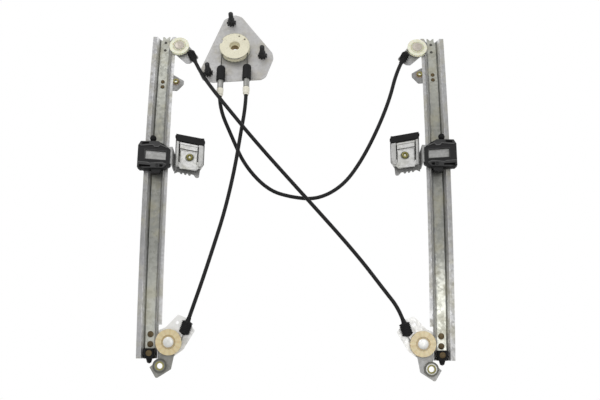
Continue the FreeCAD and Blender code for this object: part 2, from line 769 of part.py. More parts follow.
port_front = plate_front + port_height
wire_hole = wire_radius + 0.15
ports = [("left", -drum_lane_radius, left_port_drop), ("right", drum_lane_radius, right_port_drop)]
for side, x, drop in ports:
    spot = local_text(x, 0, -drop)
    length = port_boot_length
    bore_start = length - sleeve_grip
    keep(upright(f"{side}_port_boot", [
        (wire_hole, 0), (port_boot_radius * 0.55, 0), (port_boot_radius * 0.9, 2.2),
        (port_boot_radius, 5), (port_boot_radius, length), (sleeve_radius + 0.05, length),
        (sleeve_radius + 0.05, bore_start), (spring_coil_radius + 1, bore_start),
        (spring_coil_radius + 1, bore_start - spring_length), (wire_hole, bore_start - spring_length)],
        as_size(0), drum_angle, port_front, spot))
    end = length + sleeve_reach
    keep(upright(f"{side}_port_sleeve", [
        (wire_hole, bore_start + 0.1), (sleeve_radius, bore_start + 0.1), (sleeve_radius, end - 0.6),
        (sleeve_radius - 0.6, end), (ferrule_radius - 1.2, end), (ferrule_radius - 1.2, end - ferrule_grip),
        (wire_hole, end - ferrule_grip)],
        as_size(0), drum_angle, port_front, spot))
    tip = end + ferrule_reach
    keep(upright(f"{side}_port_ferrule", [
        (wire_hole, end - ferrule_grip + 0.1), (ferrule_radius - 1.3, end - ferrule_grip + 0.1),
        (ferrule_radius - 1.3, end + 0.1), (ferrule_radius + 0.3, end + 0.1),
        (ferrule_radius + 0.3, end + 2.5), (ferrule_radius, end + 3), (ferrule_radius - 0.3, tip),
        (casing_radius + 0.05, tip), (casing_radius + 0.05, tip - casing_grip),
        (wire_hole, tip - casing_grip)],
        as_size(0), drum_angle, port_front, spot))


def spring(name, x, drop):
    """The compression spring that keeps the casing pushed out of its boot."""
    coil = doc.addObject("Part::Helix", f"{name}_line")
    free = spring_length - spring_wire_radius * 2 - 0.6
    set_size(coil, "Pitch", free / spring_turns)
    set_size(coil, "Height", free)
    set_size(coil, "Radius", spring_coil_radius)
    ring = doc.addObject("Part::Circle", f"{name}_section")
    set_size(ring, "Radius", spring_wire_radius)
    ring.Placement = FreeCAD.Placement(V(spring_coil_radius.value, 0, 0), FreeCAD.Rotation(V(1, 0, 0), 90))
    ring.setExpression(".Placement.Base.x", spring_coil_radius.text)
    sweep = doc.addObject("Part::Sweep", name)
    sweep.Sections = [ring]
    sweep.Spine = (coil, ["Edge1"])
    sweep.Solid = True
    sweep.Frenet = True
    low = drop + port_boot_length - sleeve_grip - spring_wire_radius - 0.2
    seat(sweep, as_size(0), drum_angle, port_front, local_text(x, 0, -low))
    sweep.Label = name
    return sweep


keep(group("port_springs", [spring(f"{side}_port_spring", x, drop) for side, x, drop in ports]))

# Boots that hold the casings' ends at the four pulleys
boot_width = size("boot_width", 12)
boot_depth = size("boot_depth", 9)
boot_length = size("boot_length", 24)
boot_start = size("boot_start", 15)
nose_length = size("nose_length", 5)
doc.recompute()


def casing_boot(name, across, angle, hand, exit_angle, groove_radius, up):
    """A rubber boot along the cable where it leaves a pulley; local Z runs from pulley to casing."""
    turn = (90 - exit_angle) * hand if up else (90 + exit_angle) * hand
    lean = local_text(0, 0, 0, "vector(0; 1; 0)", turn)
    reach = groove_radius * hand if up else -groove_radius * hand
    shift = local_text(reach, 0, boot_start)
    body = seat(new_body(name), across, angle, wire_front, f"{lean} * {shift}")
    front = new_sketch(body, "front", "XZ_Plane", -boot_depth / 2)
    half = boot_width / 2
    outline(front, [
        (-half * 0.55, 0), (half * 0.55, 0), (half * 0.9, 3), (half, 8), (half, boot_length - 3),
        (half * 0.7, boot_length), (-half * 0.7, boot_length), (-half, boot_length - 3),
        (-half, 8), (-half * 0.9, 3)])
    pad(body, front, boot_depth)
    bore = new_sketch(body, "bore", "XY_Plane")
    circle(bore, 0, 0, wire_hole)
    pocket(body, bore, boot_length, True)
    socket = new_sketch(body, "socket", "XY_Plane", boot_length)
    circle(socket, 0, 0, casing_radius + 0.05)
    pocket(body, socket, casing_grip)
    return body


for side, hand, across in rail_sides:
    keep(casing_boot(f"{side}_upper_boot", across + upper_pulley_x * hand, upper_pulley_angle, hand,
                     upper_exit_angle, upper_groove_radius, False))
    keep(casing_boot(f"{side}_lower_boot", across + lower_pulley_x * hand, lower_pulley_angle, hand,
                     lower_exit_angle, lower_groove_radius, True))
doc.recompute()


# Cables and casings: tubes along straight runs and tangent arcs
def station_matrix(across, angle, front):
    radius = bend_radius.value + front
    turn = math.radians(angle)
    base = V(across, axis_y.value - radius * math.cos(turn), axis_z.value + radius * math.sin(turn))
    return FreeCAD.Placement(base, FreeCAD.Rotation(V(1, 0, 0), -angle))


def feature(name, shape):
    part = doc.addObject("Part::Feature", name)
    part.Label = name
    part.Shape = shape
    return part


def tube(path, start, direction, radius):
    section = Part.Wire([Part.makeCircle(radius, start, direction)])
    return path.makePipeShell([section], True, False)


def arc_edge(frame, centre, first, middle, last):
    """An arc in a local frame, through three places given relative to its centre."""
    spots = [frame.multVec(centre + place) for place in (first, middle, last)]
    return Part.Arc(*spots).toShape()


def rail_cable(side, hand, across):
    """The cable from the upper casing, over both pulleys and along the rail between them."""
    x = across.value
    edges = []
    upper = station_matrix(x + upper_pulley_x.value * hand, upper_pulley_angle.value, wire_front.value)
    lower = station_matrix(x + lower_pulley_x.value * hand, lower_pulley_angle.value, wire_front.value)
    high = math.radians(upper_exit_angle.value)
    low = math.radians(lower_exit_angle.value)
    groove_high = upper_groove_radius.value
    groove_low = lower_groove_radius.value
    reach = boot_start.value + boot_length.value - casing_grip.value - 1
    leave = V(math.sin(high) * hand, 0, math.cos(high)) * groove_high
    away = V(math.cos(high) * hand, 0, -math.sin(high))
    half = (math.pi - (math.pi / 2 - high)) / 2
    middle = V(-math.cos(half) * hand, 0, math.sin(half)) * groove_high
    side_high = V(-hand * groove_high, 0, 0)
    begin = upper.multVec(leave + away * reach)
    edges.append(Part.LineSegment(begin, upper.multVec(leave)).toShape())
    edges.append(arc_edge(upper, V(0, 0, 0), leave, middle, side_high))
    wire_x = x + wire_inset.value * hand
    stations = [upper_pulley_angle.value, 0, lower_pulley_angle.value]
    spots = [station_matrix(wire_x, angle, wire_front.value).Base for angle in stations]
    edges.append(Part.Arc(*spots).toShape())
    leave_low = V(math.sin(low) * hand, 0, -math.cos(low)) * groove_low
    up = V(math.cos(low) * hand, 0, math.sin(low))
    middle_low = V(-math.cos(half) * hand, 0, -math.sin(half)) * groove_low
    edges.append(arc_edge(lower, V(0, 0, 0), V(-hand * groove_low, 0, 0), middle_low, leave_low))
    finish = lower.multVec(leave_low + up * reach)
    edges.append(Part.LineSegment(lower.multVec(leave_low), finish).toShape())
    path = Part.Wire(edges)
    direction = upper.Rotation.multVec(away)
    shape = tube(path, begin, direction, wire_radius.value)
    return feature(f"{side}_rail_cable", shape)


for side, hand, across in rail_sides:
    keep(rail_cable(side, hand, across))


def drum_cable(side, x, drop, lane):
    """A strand from its port to the drum, and a quarter turn in its own lane."""
    frame = station_matrix(0, drum_angle.value, plate_front.value)
    hand = 1 if x > 0 else -1
    radius = drum_lane_radius.value
    lane_y = -lane.value
    port_y = -port_height.value
    length = drop.value + port_boot_length.value - sleeve_grip.value + 5
    begin = frame.multVec(V(x, port_y, -length))
    mouth = frame.multVec(V(x, port_y, 0.6 - drop.value))
    touch = frame.multVec(V(x, lane_y, 0))
    spots = [frame.multVec(V(x * math.cos(turn), lane_y, radius * math.sin(turn)))
             for turn in (0, math.radians(40), math.radians(80))]
    inner = tube(Part.Wire([Part.LineSegment(begin, mouth).toShape()]), begin,
                 mouth - begin, wire_radius.value)
    outer = tube(Part.Wire([Part.LineSegment(mouth, touch).toShape()]), mouth,
                 touch - mouth, wire_radius.value)
    knuckle = Part.makeSphere(wire_radius.value, mouth)
    turn_path = Part.Wire([Part.Arc(*spots).toShape()])
    quarter = tube(turn_path, touch, frame.Rotation.multVec(V(0, 0, 1)), wire_radius.value)
    return feature(f"{side}_drum_cable", inner.fuse([knuckle, outer, quarter]))


keep(drum_cable("left", -drum_lane_radius.value, left_port_drop, lanes[0]))
keep(drum_cable("right", drum_lane_radius.value, right_port_drop, lanes[3]))


def cord_path(points):
    """Straight runs with an arc at each point, as large as the two runs allow."""
    edges = []
    radii = []
    start = points[0]
    for before, corner, after in zip(points, points[1:], points[2:]):
        into = (corner - before).normalize()
        out = (after - corner).normalize()
        half_turn = into.getAngle(out) / 2
        cut = 0.45 * min((corner - before).Length, (after - corner).Length)
        radius = cut / math.tan(half_turn)
        radii.append(radius)
        arc_start = corner - into * cut
        arc_end = corner + out * cut
        inward = (out - into).normalize()
        middle = corner + inward * (radius / math.cos(half_turn) - radius)
        edges.append(Part.LineSegment(start, arc_start).toShape())
        edges.append(Part.Arc(arc_start, middle, arc_end).toShape())
        start = arc_end
    edges.append(Part.LineSegment(start, points[-1]).toShape())
    return Part.Wire(edges), radii


def casing(name, points):
    path, radii = cord_path(points)
    shape = tube(path, points[0], points[1] - points[0], casing_radius.value)
    expected = math.pi * casing_radius.value ** 2 * path.Length
    runs = [(after - before).Length for before, after in zip(points, points[1:])]
    print(name, "runs", [round(run) for run in runs])
    print(name, "length", round(path.Length), "smallest radius", round(min(radii)),
          "radii", [round(radius) for radius in radii],
          "volume ratio", round(shape.Volume / expected, 4))
    return feature(name, shape)


casing_lead = 25


def port_mouth(x, drop):
    """Where a casing ends in its ferrule, and a point straight out of it."""
    frame = station_matrix(0, drum_angle.value, port_front.value)
    tip = drop + port_boot_length + sleeve_reach + ferrule_reach - casing_grip + 0.1
    return [frame.multVec(V(x, 0, -tip.value)), frame.multVec(V(x, 0, -tip.value - casing_lead))]


def boot_mouth(hand, across, pulley_x, angle, exit_angle, groove_radius, up):
    """Where a casing ends in its boot, and a point straight out of it."""
    frame = station_matrix(across.value + pulley_x.value * hand, angle.value, wire_front.value)
    turn = math.radians(exit_angle.value)
    sign = 1 if up else -1
    leave = V(math.sin(turn) * hand, 0, -math.cos(turn) * sign) * groove_radius.value
    along = V(math.cos(turn) * hand, 0, math.sin(turn) * sign)
    reach = (boot_start + boot_length - casing_grip + 0.1).value
    return [frame.multVec(leave + along * (reach + lead)) for lead in (0, casing_lead)]


mouths = {}
for side, hand, across in rail_sides:
    mouths[f"{side}_upper"] = boot_mouth(hand, across, upper_pulley_x, upper_pulley_angle,
                                         upper_exit_angle, upper_groove_radius, False)
    mouths[f"{side}_lower"] = boot_mouth(hand, across, lower_pulley_x, lower_pulley_angle,
                                         lower_exit_angle, lower_groove_radius, True)

drum_left_route = [
    (0, -15, -157), (21, -12, -203), (58, -12, -243), (96, -13, -255),
    (136, -14, -258), (175, -16, -236), (204, -18, -195), (230, -18, -142), (250, -17, -90)]
drum_right_route = [
    (14, -25, -155), (8, -27, -202), (0, -26, -247), (-10, -25, -292),
    (-24, -23, -341), (-39, -19, -391)]
cross_route = [
    (-33, -29, -80), (-5, -37, -118), (25, -38, -156), (58, -34, -194),
    (94, -30, -234), (132, -29, -277), (172, -26, -322), (205, -22, -361), (235, -17, -400)]
casings = [
    ("left_port_casing", port_mouth(-drum_lane_radius.value, left_port_drop), drum_left_route,
     mouths["right_upper"]),
    ("right_port_casing", port_mouth(drum_lane_radius.value, right_port_drop), drum_right_route,
     mouths["left_lower"]),
    ("cross_casing", mouths["left_upper"], cross_route, mouths["right_lower"])]
for name, begin, route, finish in casings:
    points = begin + [V(*point) for point in route] + list(reversed(finish))
    print(name, [(round(point.x, 1), round(point.y, 1), round(point.z, 1)) for point in points])
    keep(casing(name, points))

# Carriers: a moulded slider round the rail, a steel carrier, and a glass clamp
lip_front = -sheet_gauge - slider_clearance
carrier_angles = {"left": left_carrier_angle, "right": right_carrier_angle}


def slider(side, hand, across, angle):
    """Local origin on the rail's centre line at the rails' front face."""
    body = seat(new_body(f"{side}_slider"), across, angle, as_size(0))
    low = -slider_height / 2
    section = new_sketch(body, "section", "XY_Plane", low)
    back = lip_depth - lip_front
    outer_gap = outer_edge + slider_clearance
    inner_gap = inner_edge + slider_clearance
    outline(section, mirrored([
        (-slider_outer, back), (-outer_edge + lip_reach, back), (-outer_edge + lip_reach, -lip_front),
        (-outer_gap, -lip_front), (-outer_gap, -slider_clearance), (inner_gap, -slider_clearance),
        (inner_gap, -lip_front), (inner_edge - lip_reach, -lip_front), (inner_edge - lip_reach, back),
        (slider_inner, back), (slider_inner, 1 - slider_front), (slider_inner - 1, -slider_front),
        (1 - slider_outer, -slider_front), (-slider_outer, 1 - slider_front)], hand))
    pad(body, section, slider_height)
    foot = new_sketch(body, "foot", "XZ_Plane", slider_clearance)
    outline(foot, mirrored([(-7, low), (8.5, low), (7, low - 8), (-5.5, low - 8)], hand))
    pad(body, foot, slider_front - slider_clearance - 1.5)
    corner_cut = new_sketch(body, "corners", "XZ_Plane", slider_front + 1)
    outline(corner_cut, mirrored([(6, slider_height / 2 + 1), (slider_inner + 1, slider_height / 2 - 10),
                                  (slider_inner + 1, slider_height / 2 + 1)], hand))
    outline(corner_cut, mirrored([(slider_inner - 8, low - 1), (slider_inner + 1, low + 9),
                                  (slider_inner + 1, low - 1)], hand))
    pocket(body, corner_cut, slider_front + back + 2)
    window = new_sketch(body, "window", "XZ_Plane", slider_front + 1)
    centre = -1.5
    outline(window, mirrored([
        (centre - window_width / 2, -window_height / 2), (centre + window_width / 2, -window_height / 2),
        (centre + window_width / 2, window_height / 2), (centre - window_width / 2, window_height / 2)],
        hand))
    pocket(body, window, slider_front + 1 - carrier_slot_front)
    slot = new_sketch(body, "slot", "YZ_Plane", (-outer_edge) * hand)
    half = carrier_tongue_height / 2 + 0.1
    slot_back = -carrier_slot_front
    slot_front = slot_back - carrier_gauge - 0.3
    outline(slot, [(slot_back, -half), (slot_back, half), (slot_front, half), (slot_front, -half)])
    pocket(body, slot, outer_edge + slider_inner + 2, hand > 0)
    channel = new_sketch(body, "channel", "XY_Plane", low - 1)
    wire_gap = wire_radius + 0.5
    outline(channel, mirrored([
        (wire_inset - wire_gap, 0), (wire_inset + wire_gap, 0),
        (wire_inset + wire_gap, -wire_front - wire_gap), (wire_inset - wire_gap, -wire_front - wire_gap)],
        hand))
    pocket(body, channel, slider_height + 2, True)
    nest = new_sketch(body, "nest", "XY_Plane", -nipple_length - 1)
    nest_half = nipple_radius + 0.3
    nest_roof = -wire_front - nest_half
    outline(nest, mirrored([
        (wire_inset - nest_half, 0), (wire_inset + nest_half, 0),
        (wire_inset + nest_half, nest_roof), (wire_inset - nest_half, nest_roof)], hand))
    pocket(body, nest, nipple_length * 2 + 2, True)
    return body


def nipples(side, hand, across, angle):
    """Two crimped barrels, one on each end of the cable, side by side on one line."""
    barrels = []
    for index, low in enumerate((-nipple_length - 0.5, as_size(0.5))):
        body = seat(new_body(f"{side}_nipple_{index}"), across + wire_inset * hand, angle, wire_front)
        ring = new_sketch(body, "ring", "XY_Plane", low)
        circle(ring, 0, 0, nipple_radius)
        circle(ring, 0, 0, wire_hole)
        pad(body, ring, nipple_length)
        barrels.append(body)
    return group(f"{side}_cable_nipples", barrels)


def bumper(side, hand, across, angle):
    """A rubber ball on the slider's top edge that meets the upper stop."""
    body = seat(new_body(f"{side}_bumper"), across - 6.5 * hand, angle, slider_front / 2 + 1,
                local_text(0, 0, slider_height / 2 + 0.1))
    half = new_sketch(body, "half", "XZ_Plane")
    ball = bumper_radius
    outline(half, [
        (0, 0), (ball * 0.55, 0), (ball * 0.5, 1.2), (ball * 0.85, 2.6), (ball, ball),
        (ball * 0.85, ball * 1.55), (ball * 0.5, ball * 1.87), (0, ball * 2)])
    revolve(body, half)
    return body


clamp_back = clamp_front + carrier_gauge
pad_face = clamp_back + pad_gauge
jaw_back = pad_face + glass_gap
screw_x = clamp_inset + clamp_width / 2
clamp_end = clamp_inset + clamp_width


def carrier_plate(side, hand, across, angle):
    """Sheet steel: a tongue through the slider, a wall behind it, and the clamp's back plate."""
    body = seat(new_body(f"{side}_carrier_plate"), across, angle, as_size(0))
    tongue_back = carrier_slot_front + 0.15
    half = carrier_tongue_height / 2
    section = new_sketch(body, "section", "XY_Plane", -half)
    gauge = carrier_gauge
    wall = slider_inner + wall_gap
    outline(section, mirrored([
        (2 - outer_edge, -tongue_back), (wall, -tongue_back), (wall, -clamp_front),
        (clamp_end, -clamp_front), (clamp_end, -clamp_front - gauge),
        (wall + gauge, -clamp_front - gauge), (wall + gauge, -tongue_back - gauge),
        (2 - outer_edge, -tongue_back - gauge)], hand))
    pad(body, section, carrier_tongue_height)
    face = new_sketch(body, "face", "XZ_Plane", clamp_front)
    corners = mirrored([
        (clamp_inset, clamp_low), (clamp_end - 6, clamp_low), (clamp_end, clamp_low + 6),
        (clamp_end, clamp_top), (clamp_inset, clamp_top)], hand)
    outline(face, corners)
    pad(body, face, gauge)
    bore = new_sketch(body, "bore", "XZ_Plane", clamp_front - 1)
    circle(bore, screw_x * hand, screw_rise, screw_radius + running_clearance)
    pocket(body, bore, gauge + 2, True)
    return body


def back_pad(side, hand, across, angle):
    """Rubber lining on the back plate, above the clamp's screw."""
    body = seat(new_body(f"{side}_back_pad"), across, angle, clamp_back + 0.02)
    low = screw_rise + screw_head_radius + 2
    face = new_sketch(body, "face", "XZ_Plane")
    outline(face, mirrored([
        (clamp_inset + 1, low), (clamp_end - 1, low), (clamp_end - 1, clamp_top - 1),
        (clamp_inset + 1, clamp_top - 1)], hand))
    pad(body, face, pad_gauge - 0.02)
    return body


def jaw(side, hand, across, angle):
    """Front jaw: a pressed plate with two ribs and a toothed lower edge."""
    body = seat(new_body(f"{side}_clamp_jaw"), across, angle, jaw_back + pad_gauge)
    face = new_sketch(body, "face", "XZ_Plane")
    teeth = []
    tooth_start = clamp_inset + 4
    for step in range(4):
        left = tooth_start + step * 7.5
        teeth += [(left, clamp_low), (left + 1.5, clamp_low - 3), (left + 5, clamp_low - 3),
                  (left + 6.5, clamp_low)]
    spike = [(clamp_end - 8, clamp_low), (clamp_end - 6, clamp_low - 10), (clamp_end - 3.5, clamp_low - 10)]
    outline(face, mirrored(
        [(clamp_inset, clamp_top - 3), (clamp_inset, clamp_low + 2)] + teeth + spike
        + [(clamp_end, clamp_low + 8), (clamp_end, clamp_top - 3)], hand))
    circle(face, screw_x * hand, screw_rise, screw_radius + running_clearance)
    pad(body, face, jaw_gauge)
    ribs = new_sketch(body, "ribs", "XZ_Plane", jaw_gauge)
    for left in (clamp_inset, clamp_end - rib_width):
        outline(ribs, mirrored([
            (left, clamp_low + 10), (left + rib_width, clamp_low + 10),
            (left + rib_width, clamp_top - 3 - pad_bar_height), (left, clamp_top - 3 - pad_bar_height)],
            hand))
    pad(body, ribs, rib_height)
    boss = new_sketch(body, "boss", "XZ_Plane", jaw_gauge)
    circle(boss, screw_x * hand, screw_rise, screw_head_radius + 2.5)
    circle(boss, screw_x * hand, screw_rise, screw_radius + running_clearance)
    pad(body, boss, 1)
    return body


def jaw_pad(side, hand, across, angle):
    """Rubber cap over the jaw's upper edge: a bar in front, a lining behind."""
    body = seat(new_body(f"{side}_jaw_pad"), across, angle, jaw_back)
    section = new_sketch(body, "section", "YZ_Plane", (clamp_inset - 0.5) * hand)
    top = clamp_top
    plate_back = pad_gauge - 0.02
    plate_front_face = pad_gauge + jaw_gauge + 0.02
    bar_front = plate_front_face + 4
    bar_low = clamp_top - 3 - pad_bar_height
    outline(section, [
        (0, bar_low - 6), (-plate_back, bar_low - 6), (-plate_back, top - 2.98),
        (-plate_front_face, top - 2.98), (-plate_front_face, bar_low + 0.02), (-bar_front, bar_low + 0.02),
        (-bar_front, top - 1.5), (1.5 - bar_front, top), (0, top)])
    pad(body, section, clamp_width + 1, hand < 0)
    return body


def clamp_screw(side, hand, across, angle):
    """Pan head in front of the jaw; the shank passes the back plate's nut."""
    reach = jaw_back + pad_gauge + jaw_gauge + 1 - clamp_front
    return turned(f"{side}_clamp_screw", [
        (0, -reach - 0.4), (screw_radius - 0.5, -reach - 0.4), (screw_radius, -reach + 0.1), (screw_radius, 0.02),
        (screw_head_radius, 0.02), (screw_head_radius, screw_head_height - 1),
        (screw_head_radius - 1, screw_head_height), (1.6, screw_head_height),
        (1.6, screw_head_height - 2), (0, screw_head_height - 2)],
        across + screw_x * hand, angle, jaw_back + pad_gauge + jaw_gauge + 1,
        local_text(0, 0, screw_rise))


for side, hand, across in rail_sides:
    angle = carrier_angles[side]
    for make in (slider, nipples, bumper, carrier_plate, back_pad, jaw, jaw_pad, clamp_screw):
        keep(make(side, hand, across, angle))

doc.recompute()
faults = []
for item in doc.Objects:
    if "Invalid" in item.State or "Error" in item.State:
        faults.append(f"{item.Label}: {item.State}")
for piece in pieces:
    if piece.Shape.isNull() or not piece.Shape.isValid() or piece.Shape.Volume <= 0:
        faults.append(f"{piece.Label}: no valid shape")
if faults:
    raise SystemExit("\n".join(faults))
os.makedirs("parts", exist_ok=True)
for piece in pieces:
    piece.Shape.exportStep(f"parts/{piece.Label}.step")
print(len(pieces), "nodes,", sum(len(piece.Shape.Solids) for piece in pieces), "solids")
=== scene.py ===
"""The looks of a cable window regulator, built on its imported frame."""
import math

import bmesh
import bpy
from mathutils import Matrix, Vector


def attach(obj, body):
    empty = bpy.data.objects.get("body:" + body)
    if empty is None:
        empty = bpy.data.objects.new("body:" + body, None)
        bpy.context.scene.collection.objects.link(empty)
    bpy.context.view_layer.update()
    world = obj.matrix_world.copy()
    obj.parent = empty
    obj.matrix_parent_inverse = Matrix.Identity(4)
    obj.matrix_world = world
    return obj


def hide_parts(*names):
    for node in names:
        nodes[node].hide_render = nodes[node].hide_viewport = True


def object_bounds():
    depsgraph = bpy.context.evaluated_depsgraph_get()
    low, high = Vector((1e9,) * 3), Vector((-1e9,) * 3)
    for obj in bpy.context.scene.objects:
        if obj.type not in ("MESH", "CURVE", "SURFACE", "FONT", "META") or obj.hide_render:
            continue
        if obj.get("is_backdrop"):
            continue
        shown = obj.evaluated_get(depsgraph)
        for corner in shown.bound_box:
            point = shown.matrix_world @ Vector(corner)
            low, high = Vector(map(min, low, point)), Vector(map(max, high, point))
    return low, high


bl_info = {
    "name": "Window Regulator",
    "version": (1, 0, 0),
    "blender": (4, 5, 0),
    "location": "3D View > Sidebar > Regulator",
    "description": "Finishes the rails, drum, pulleys, casings and clamps of a window regulator",
    "category": "Object",
}

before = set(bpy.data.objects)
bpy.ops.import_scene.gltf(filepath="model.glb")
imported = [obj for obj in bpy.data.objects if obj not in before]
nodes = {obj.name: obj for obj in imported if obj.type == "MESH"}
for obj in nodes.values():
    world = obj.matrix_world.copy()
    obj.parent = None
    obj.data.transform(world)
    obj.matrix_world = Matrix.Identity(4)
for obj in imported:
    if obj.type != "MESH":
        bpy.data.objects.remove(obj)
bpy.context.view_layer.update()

SIDES = (("left", 1), ("right", -1))

# The rails' centre lines from the drum's axis, in metres
RAIL_X = {"left": -0.1155, "right": 0.3221}

# The rails' cylinder, as the frame has it, in metres, and places on it in degrees
BEND_RADIUS = 1.5
PLATE_FRONT = -0.004
DRUM_ANGLE = 9.2
AXIS_Y = (BEND_RADIUS + PLATE_FRONT) * math.cos(math.radians(DRUM_ANGLE))
AXIS_Z = -(BEND_RADIUS + PLATE_FRONT) * math.sin(math.radians(DRUM_ANGLE))
TAB_ANGLE = 10.1
UPPER_ANGLE = 9.3
LOWER_ANGLE = -9.23
CARRIER_ANGLES = (1.75, 2.0)

# The upper mounts and the lower feet, inwards of the rails' centre lines, in metres
MOUNT_ANGLES = (6.83, 7.48)
MOUNT_IN = 0.0225
MOUNT_FRONT = -0.0018
FOOT_IN = 0.0164

# Where the materials darken a rail's foot: the middle and how far it reaches, in metres
LEFT_FOOT = ((-0.099, 0, -0.515), 0.027)
RIGHT_FOOT = ((0.305, 0, -0.518), 0.030)

# The bolt holes of the feet, so far below the lower pulleys' stations, in millimetres
FOOT_DROPS = (35, 37)

# The sliders, in millimetres: the window and the fronts of the body, the crest and the ledge
SLIDER_WINDOW = [(-17, -6.5), (15, -9), (15, 5), (-17, 8)]
SLIDER_FACE = 10.42
CREST_FACE = 11.34
LEDGE_FACE = 11.84

# The clamps, in millimetres from the rail's centre line and the carrier's station
CLAMP_LEFT, CLAMP_RIGHT = 28, 71
CLAMP_LOW, CLAMP_TOP, CLAMP_FALL = -15, 43, 8.5
CAP_LEFT, CAP_RIGHT = 27, 71.5
CLAMP_WALL, CARRIER_SHEET = 24.7, 1.7
SHEET_BACK, JAW_BACK, JAW_FRONT = -26, -14.8, -12.8
CAP_BACK = -16.3
SCREW_AT = (49.5, 4)
SCREW_SEAT = -11.78
SCREW_LENGTH = 15.4

# The studs on the plate and the boots, which are less deep than wide, in millimetres
STUD_SPOTS = ((-8, 55), (45, -10), (-42, -44))
THREAD_PITCH = 1.25
BOOT_DEPTH = 4.68
BOOT_SPOUT = 3.2
RIB_PITCH = 2.5


def station(across, angle, front):
    """A place on the rails: local Z runs up the rail and local -Y out of its face."""
    turn = math.radians(angle)
    radius = BEND_RADIUS + front
    place = Vector((across, AXIS_Y - radius * math.cos(turn), AXIS_Z + radius * math.sin(turn)))
    return Matrix.Translation(place) @ Matrix.Rotation(-turn, 4, "X")


# Routes of the casings, in metres
ROUTES = {
    "left_port_casing": (
        (-0.0208, -0.0224, -0.0861), (-0.0208, -0.0264, -0.1108), (0, -0.015, -0.157),
        (0.021, -0.012, -0.203), (0.058, -0.012, -0.243), (0.096, -0.013, -0.255),
        (0.136, -0.014, -0.258), (0.175, -0.016, -0.236), (0.204, -0.018, -0.195),
        (0.230, -0.018, -0.142), (0.250, -0.017, -0.090), (0.2614, -0.0146, -0.0443),
        (0.2716, -0.0109, -0.0218)),
    "right_port_casing": (
        (0.0208, -0.0219, -0.0832), (0.0208, -0.0259, -0.1079), (0.014, -0.025, -0.155),
        (0.008, -0.027, -0.202), (0, -0.026, -0.247), (-0.010, -0.025, -0.292),
        (-0.024, -0.023, -0.341), (-0.039, -0.019, -0.391), (-0.0519, -0.0151, -0.4301),
        (-0.0596, -0.0113, -0.4535)),
    "cross_casing": (
        (-0.065, -0.0109, -0.0218), (-0.0548, -0.0146, -0.0443), (-0.033, -0.029, -0.080),
        (-0.005, -0.037, -0.118), (0.025, -0.038, -0.156), (0.058, -0.034, -0.194),
        (0.094, -0.030, -0.234), (0.132, -0.029, -0.277), (0.172, -0.026, -0.322),
        (0.205, -0.022, -0.361), (0.235, -0.017, -0.400), (0.2585, -0.0151, -0.4301),
        (0.2662, -0.0113, -0.4535)),
}


class MetalSettings(bpy.types.PropertyGroup):
    web_colour: bpy.props.FloatVectorProperty(
        name="Rail web", description="Galvanised web along the middle of a rail",
        default=(0.44, 0.445, 0.40), subtype="COLOR", size=3, min=0, max=1)
    flange_colour: bpy.props.FloatVectorProperty(
        name="Rail flanges", description="Galvanised flanges beside the channel",
        default=(0.50, 0.50, 0.505), subtype="COLOR", size=3, min=0, max=1)
    # painted shade: the dark colour of the channel walls stands for the shade inside the channel
    wall_shade_colour: bpy.props.FloatVectorProperty(
        name="Channel walls", description="Grease and dirt on the walls of the channel",
        default=(0.10, 0.105, 0.09), subtype="COLOR", size=3, min=0, max=1)
    bracket_colour: bpy.props.FloatVectorProperty(
        name="Lower brackets", description="Pale galvanised sheet of the lower brackets",
        default=(0.85, 0.845, 0.825), subtype="COLOR", size=3, min=0, max=1)
    plate_colour: bpy.props.FloatVectorProperty(
        name="Drum plate", description="Pale sheet under the drum",
        default=(0.50, 0.495, 0.49), subtype="COLOR", size=3, min=0, max=1)
    washer_colour: bpy.props.FloatVectorProperty(
        name="Washers", description="Bright plated washers of the lower mounts",
        default=(0.74, 0.74, 0.73), subtype="COLOR", size=3, min=0, max=1)
    olive_colour: bpy.props.FloatVectorProperty(
        name="Yellow zinc", description="Olive plated nuts and screws",
        default=(0.36, 0.33, 0.12), subtype="COLOR", size=3, min=0, max=1)
    rivet_colour: bpy.props.FloatVectorProperty(
        name="Rivets", description="Dark brown rivets",
        default=(0.10, 0.068, 0.028), subtype="COLOR", size=3, min=0, max=1)
    spangle: bpy.props.FloatProperty(
        name="Spangle", description="How strongly the zinc's crystals show",
        default=0.35, min=0, max=1, subtype="FACTOR")


class PlasticSettings(bpy.types.PropertyGroup):
    drum_colour: bpy.props.FloatVectorProperty(
        name="Drum", description="Ivory moulded drum",
        default=(0.89, 0.85, 0.66), subtype="COLOR", size=3, min=0, max=1)
    cream_colour: bpy.props.FloatVectorProperty(
        name="Upper pulleys", description="Cream moulded pulleys",
        default=(0.94, 0.94, 0.76), subtype="COLOR", size=3, min=0, max=1)
    amber_colour: bpy.props.FloatVectorProperty(
        name="Lower pulleys", description="Amber nylon pulleys",
        default=(0.76, 0.64, 0.38), subtype="COLOR", size=3, min=0, max=1)
    ivory_colour: bpy.props.FloatVectorProperty(
        name="Ferrules", description="Ivory ferrules at the drum's ports",
        default=(0.90, 0.87, 0.74), subtype="COLOR", size=3, min=0, max=1)
    black_colour: bpy.props.FloatVectorProperty(
        name="Black plastic", description="Sliders, boots and rubber",
        default=(0.007, 0.007, 0.0075), subtype="COLOR", size=3, min=0, max=1)


class CasingSettings(bpy.types.PropertyGroup):
    diameter: bpy.props.FloatProperty(
        name="Diameter", description="Outer diameter of a casing",
        default=0.006, min=0.003, max=0.01, unit="LENGTH")
    colour: bpy.props.FloatVectorProperty(
        name="Colour", description="Extruded black sheath",
        default=(0.006, 0.006, 0.0065), subtype="COLOR", size=3, min=0, max=1)


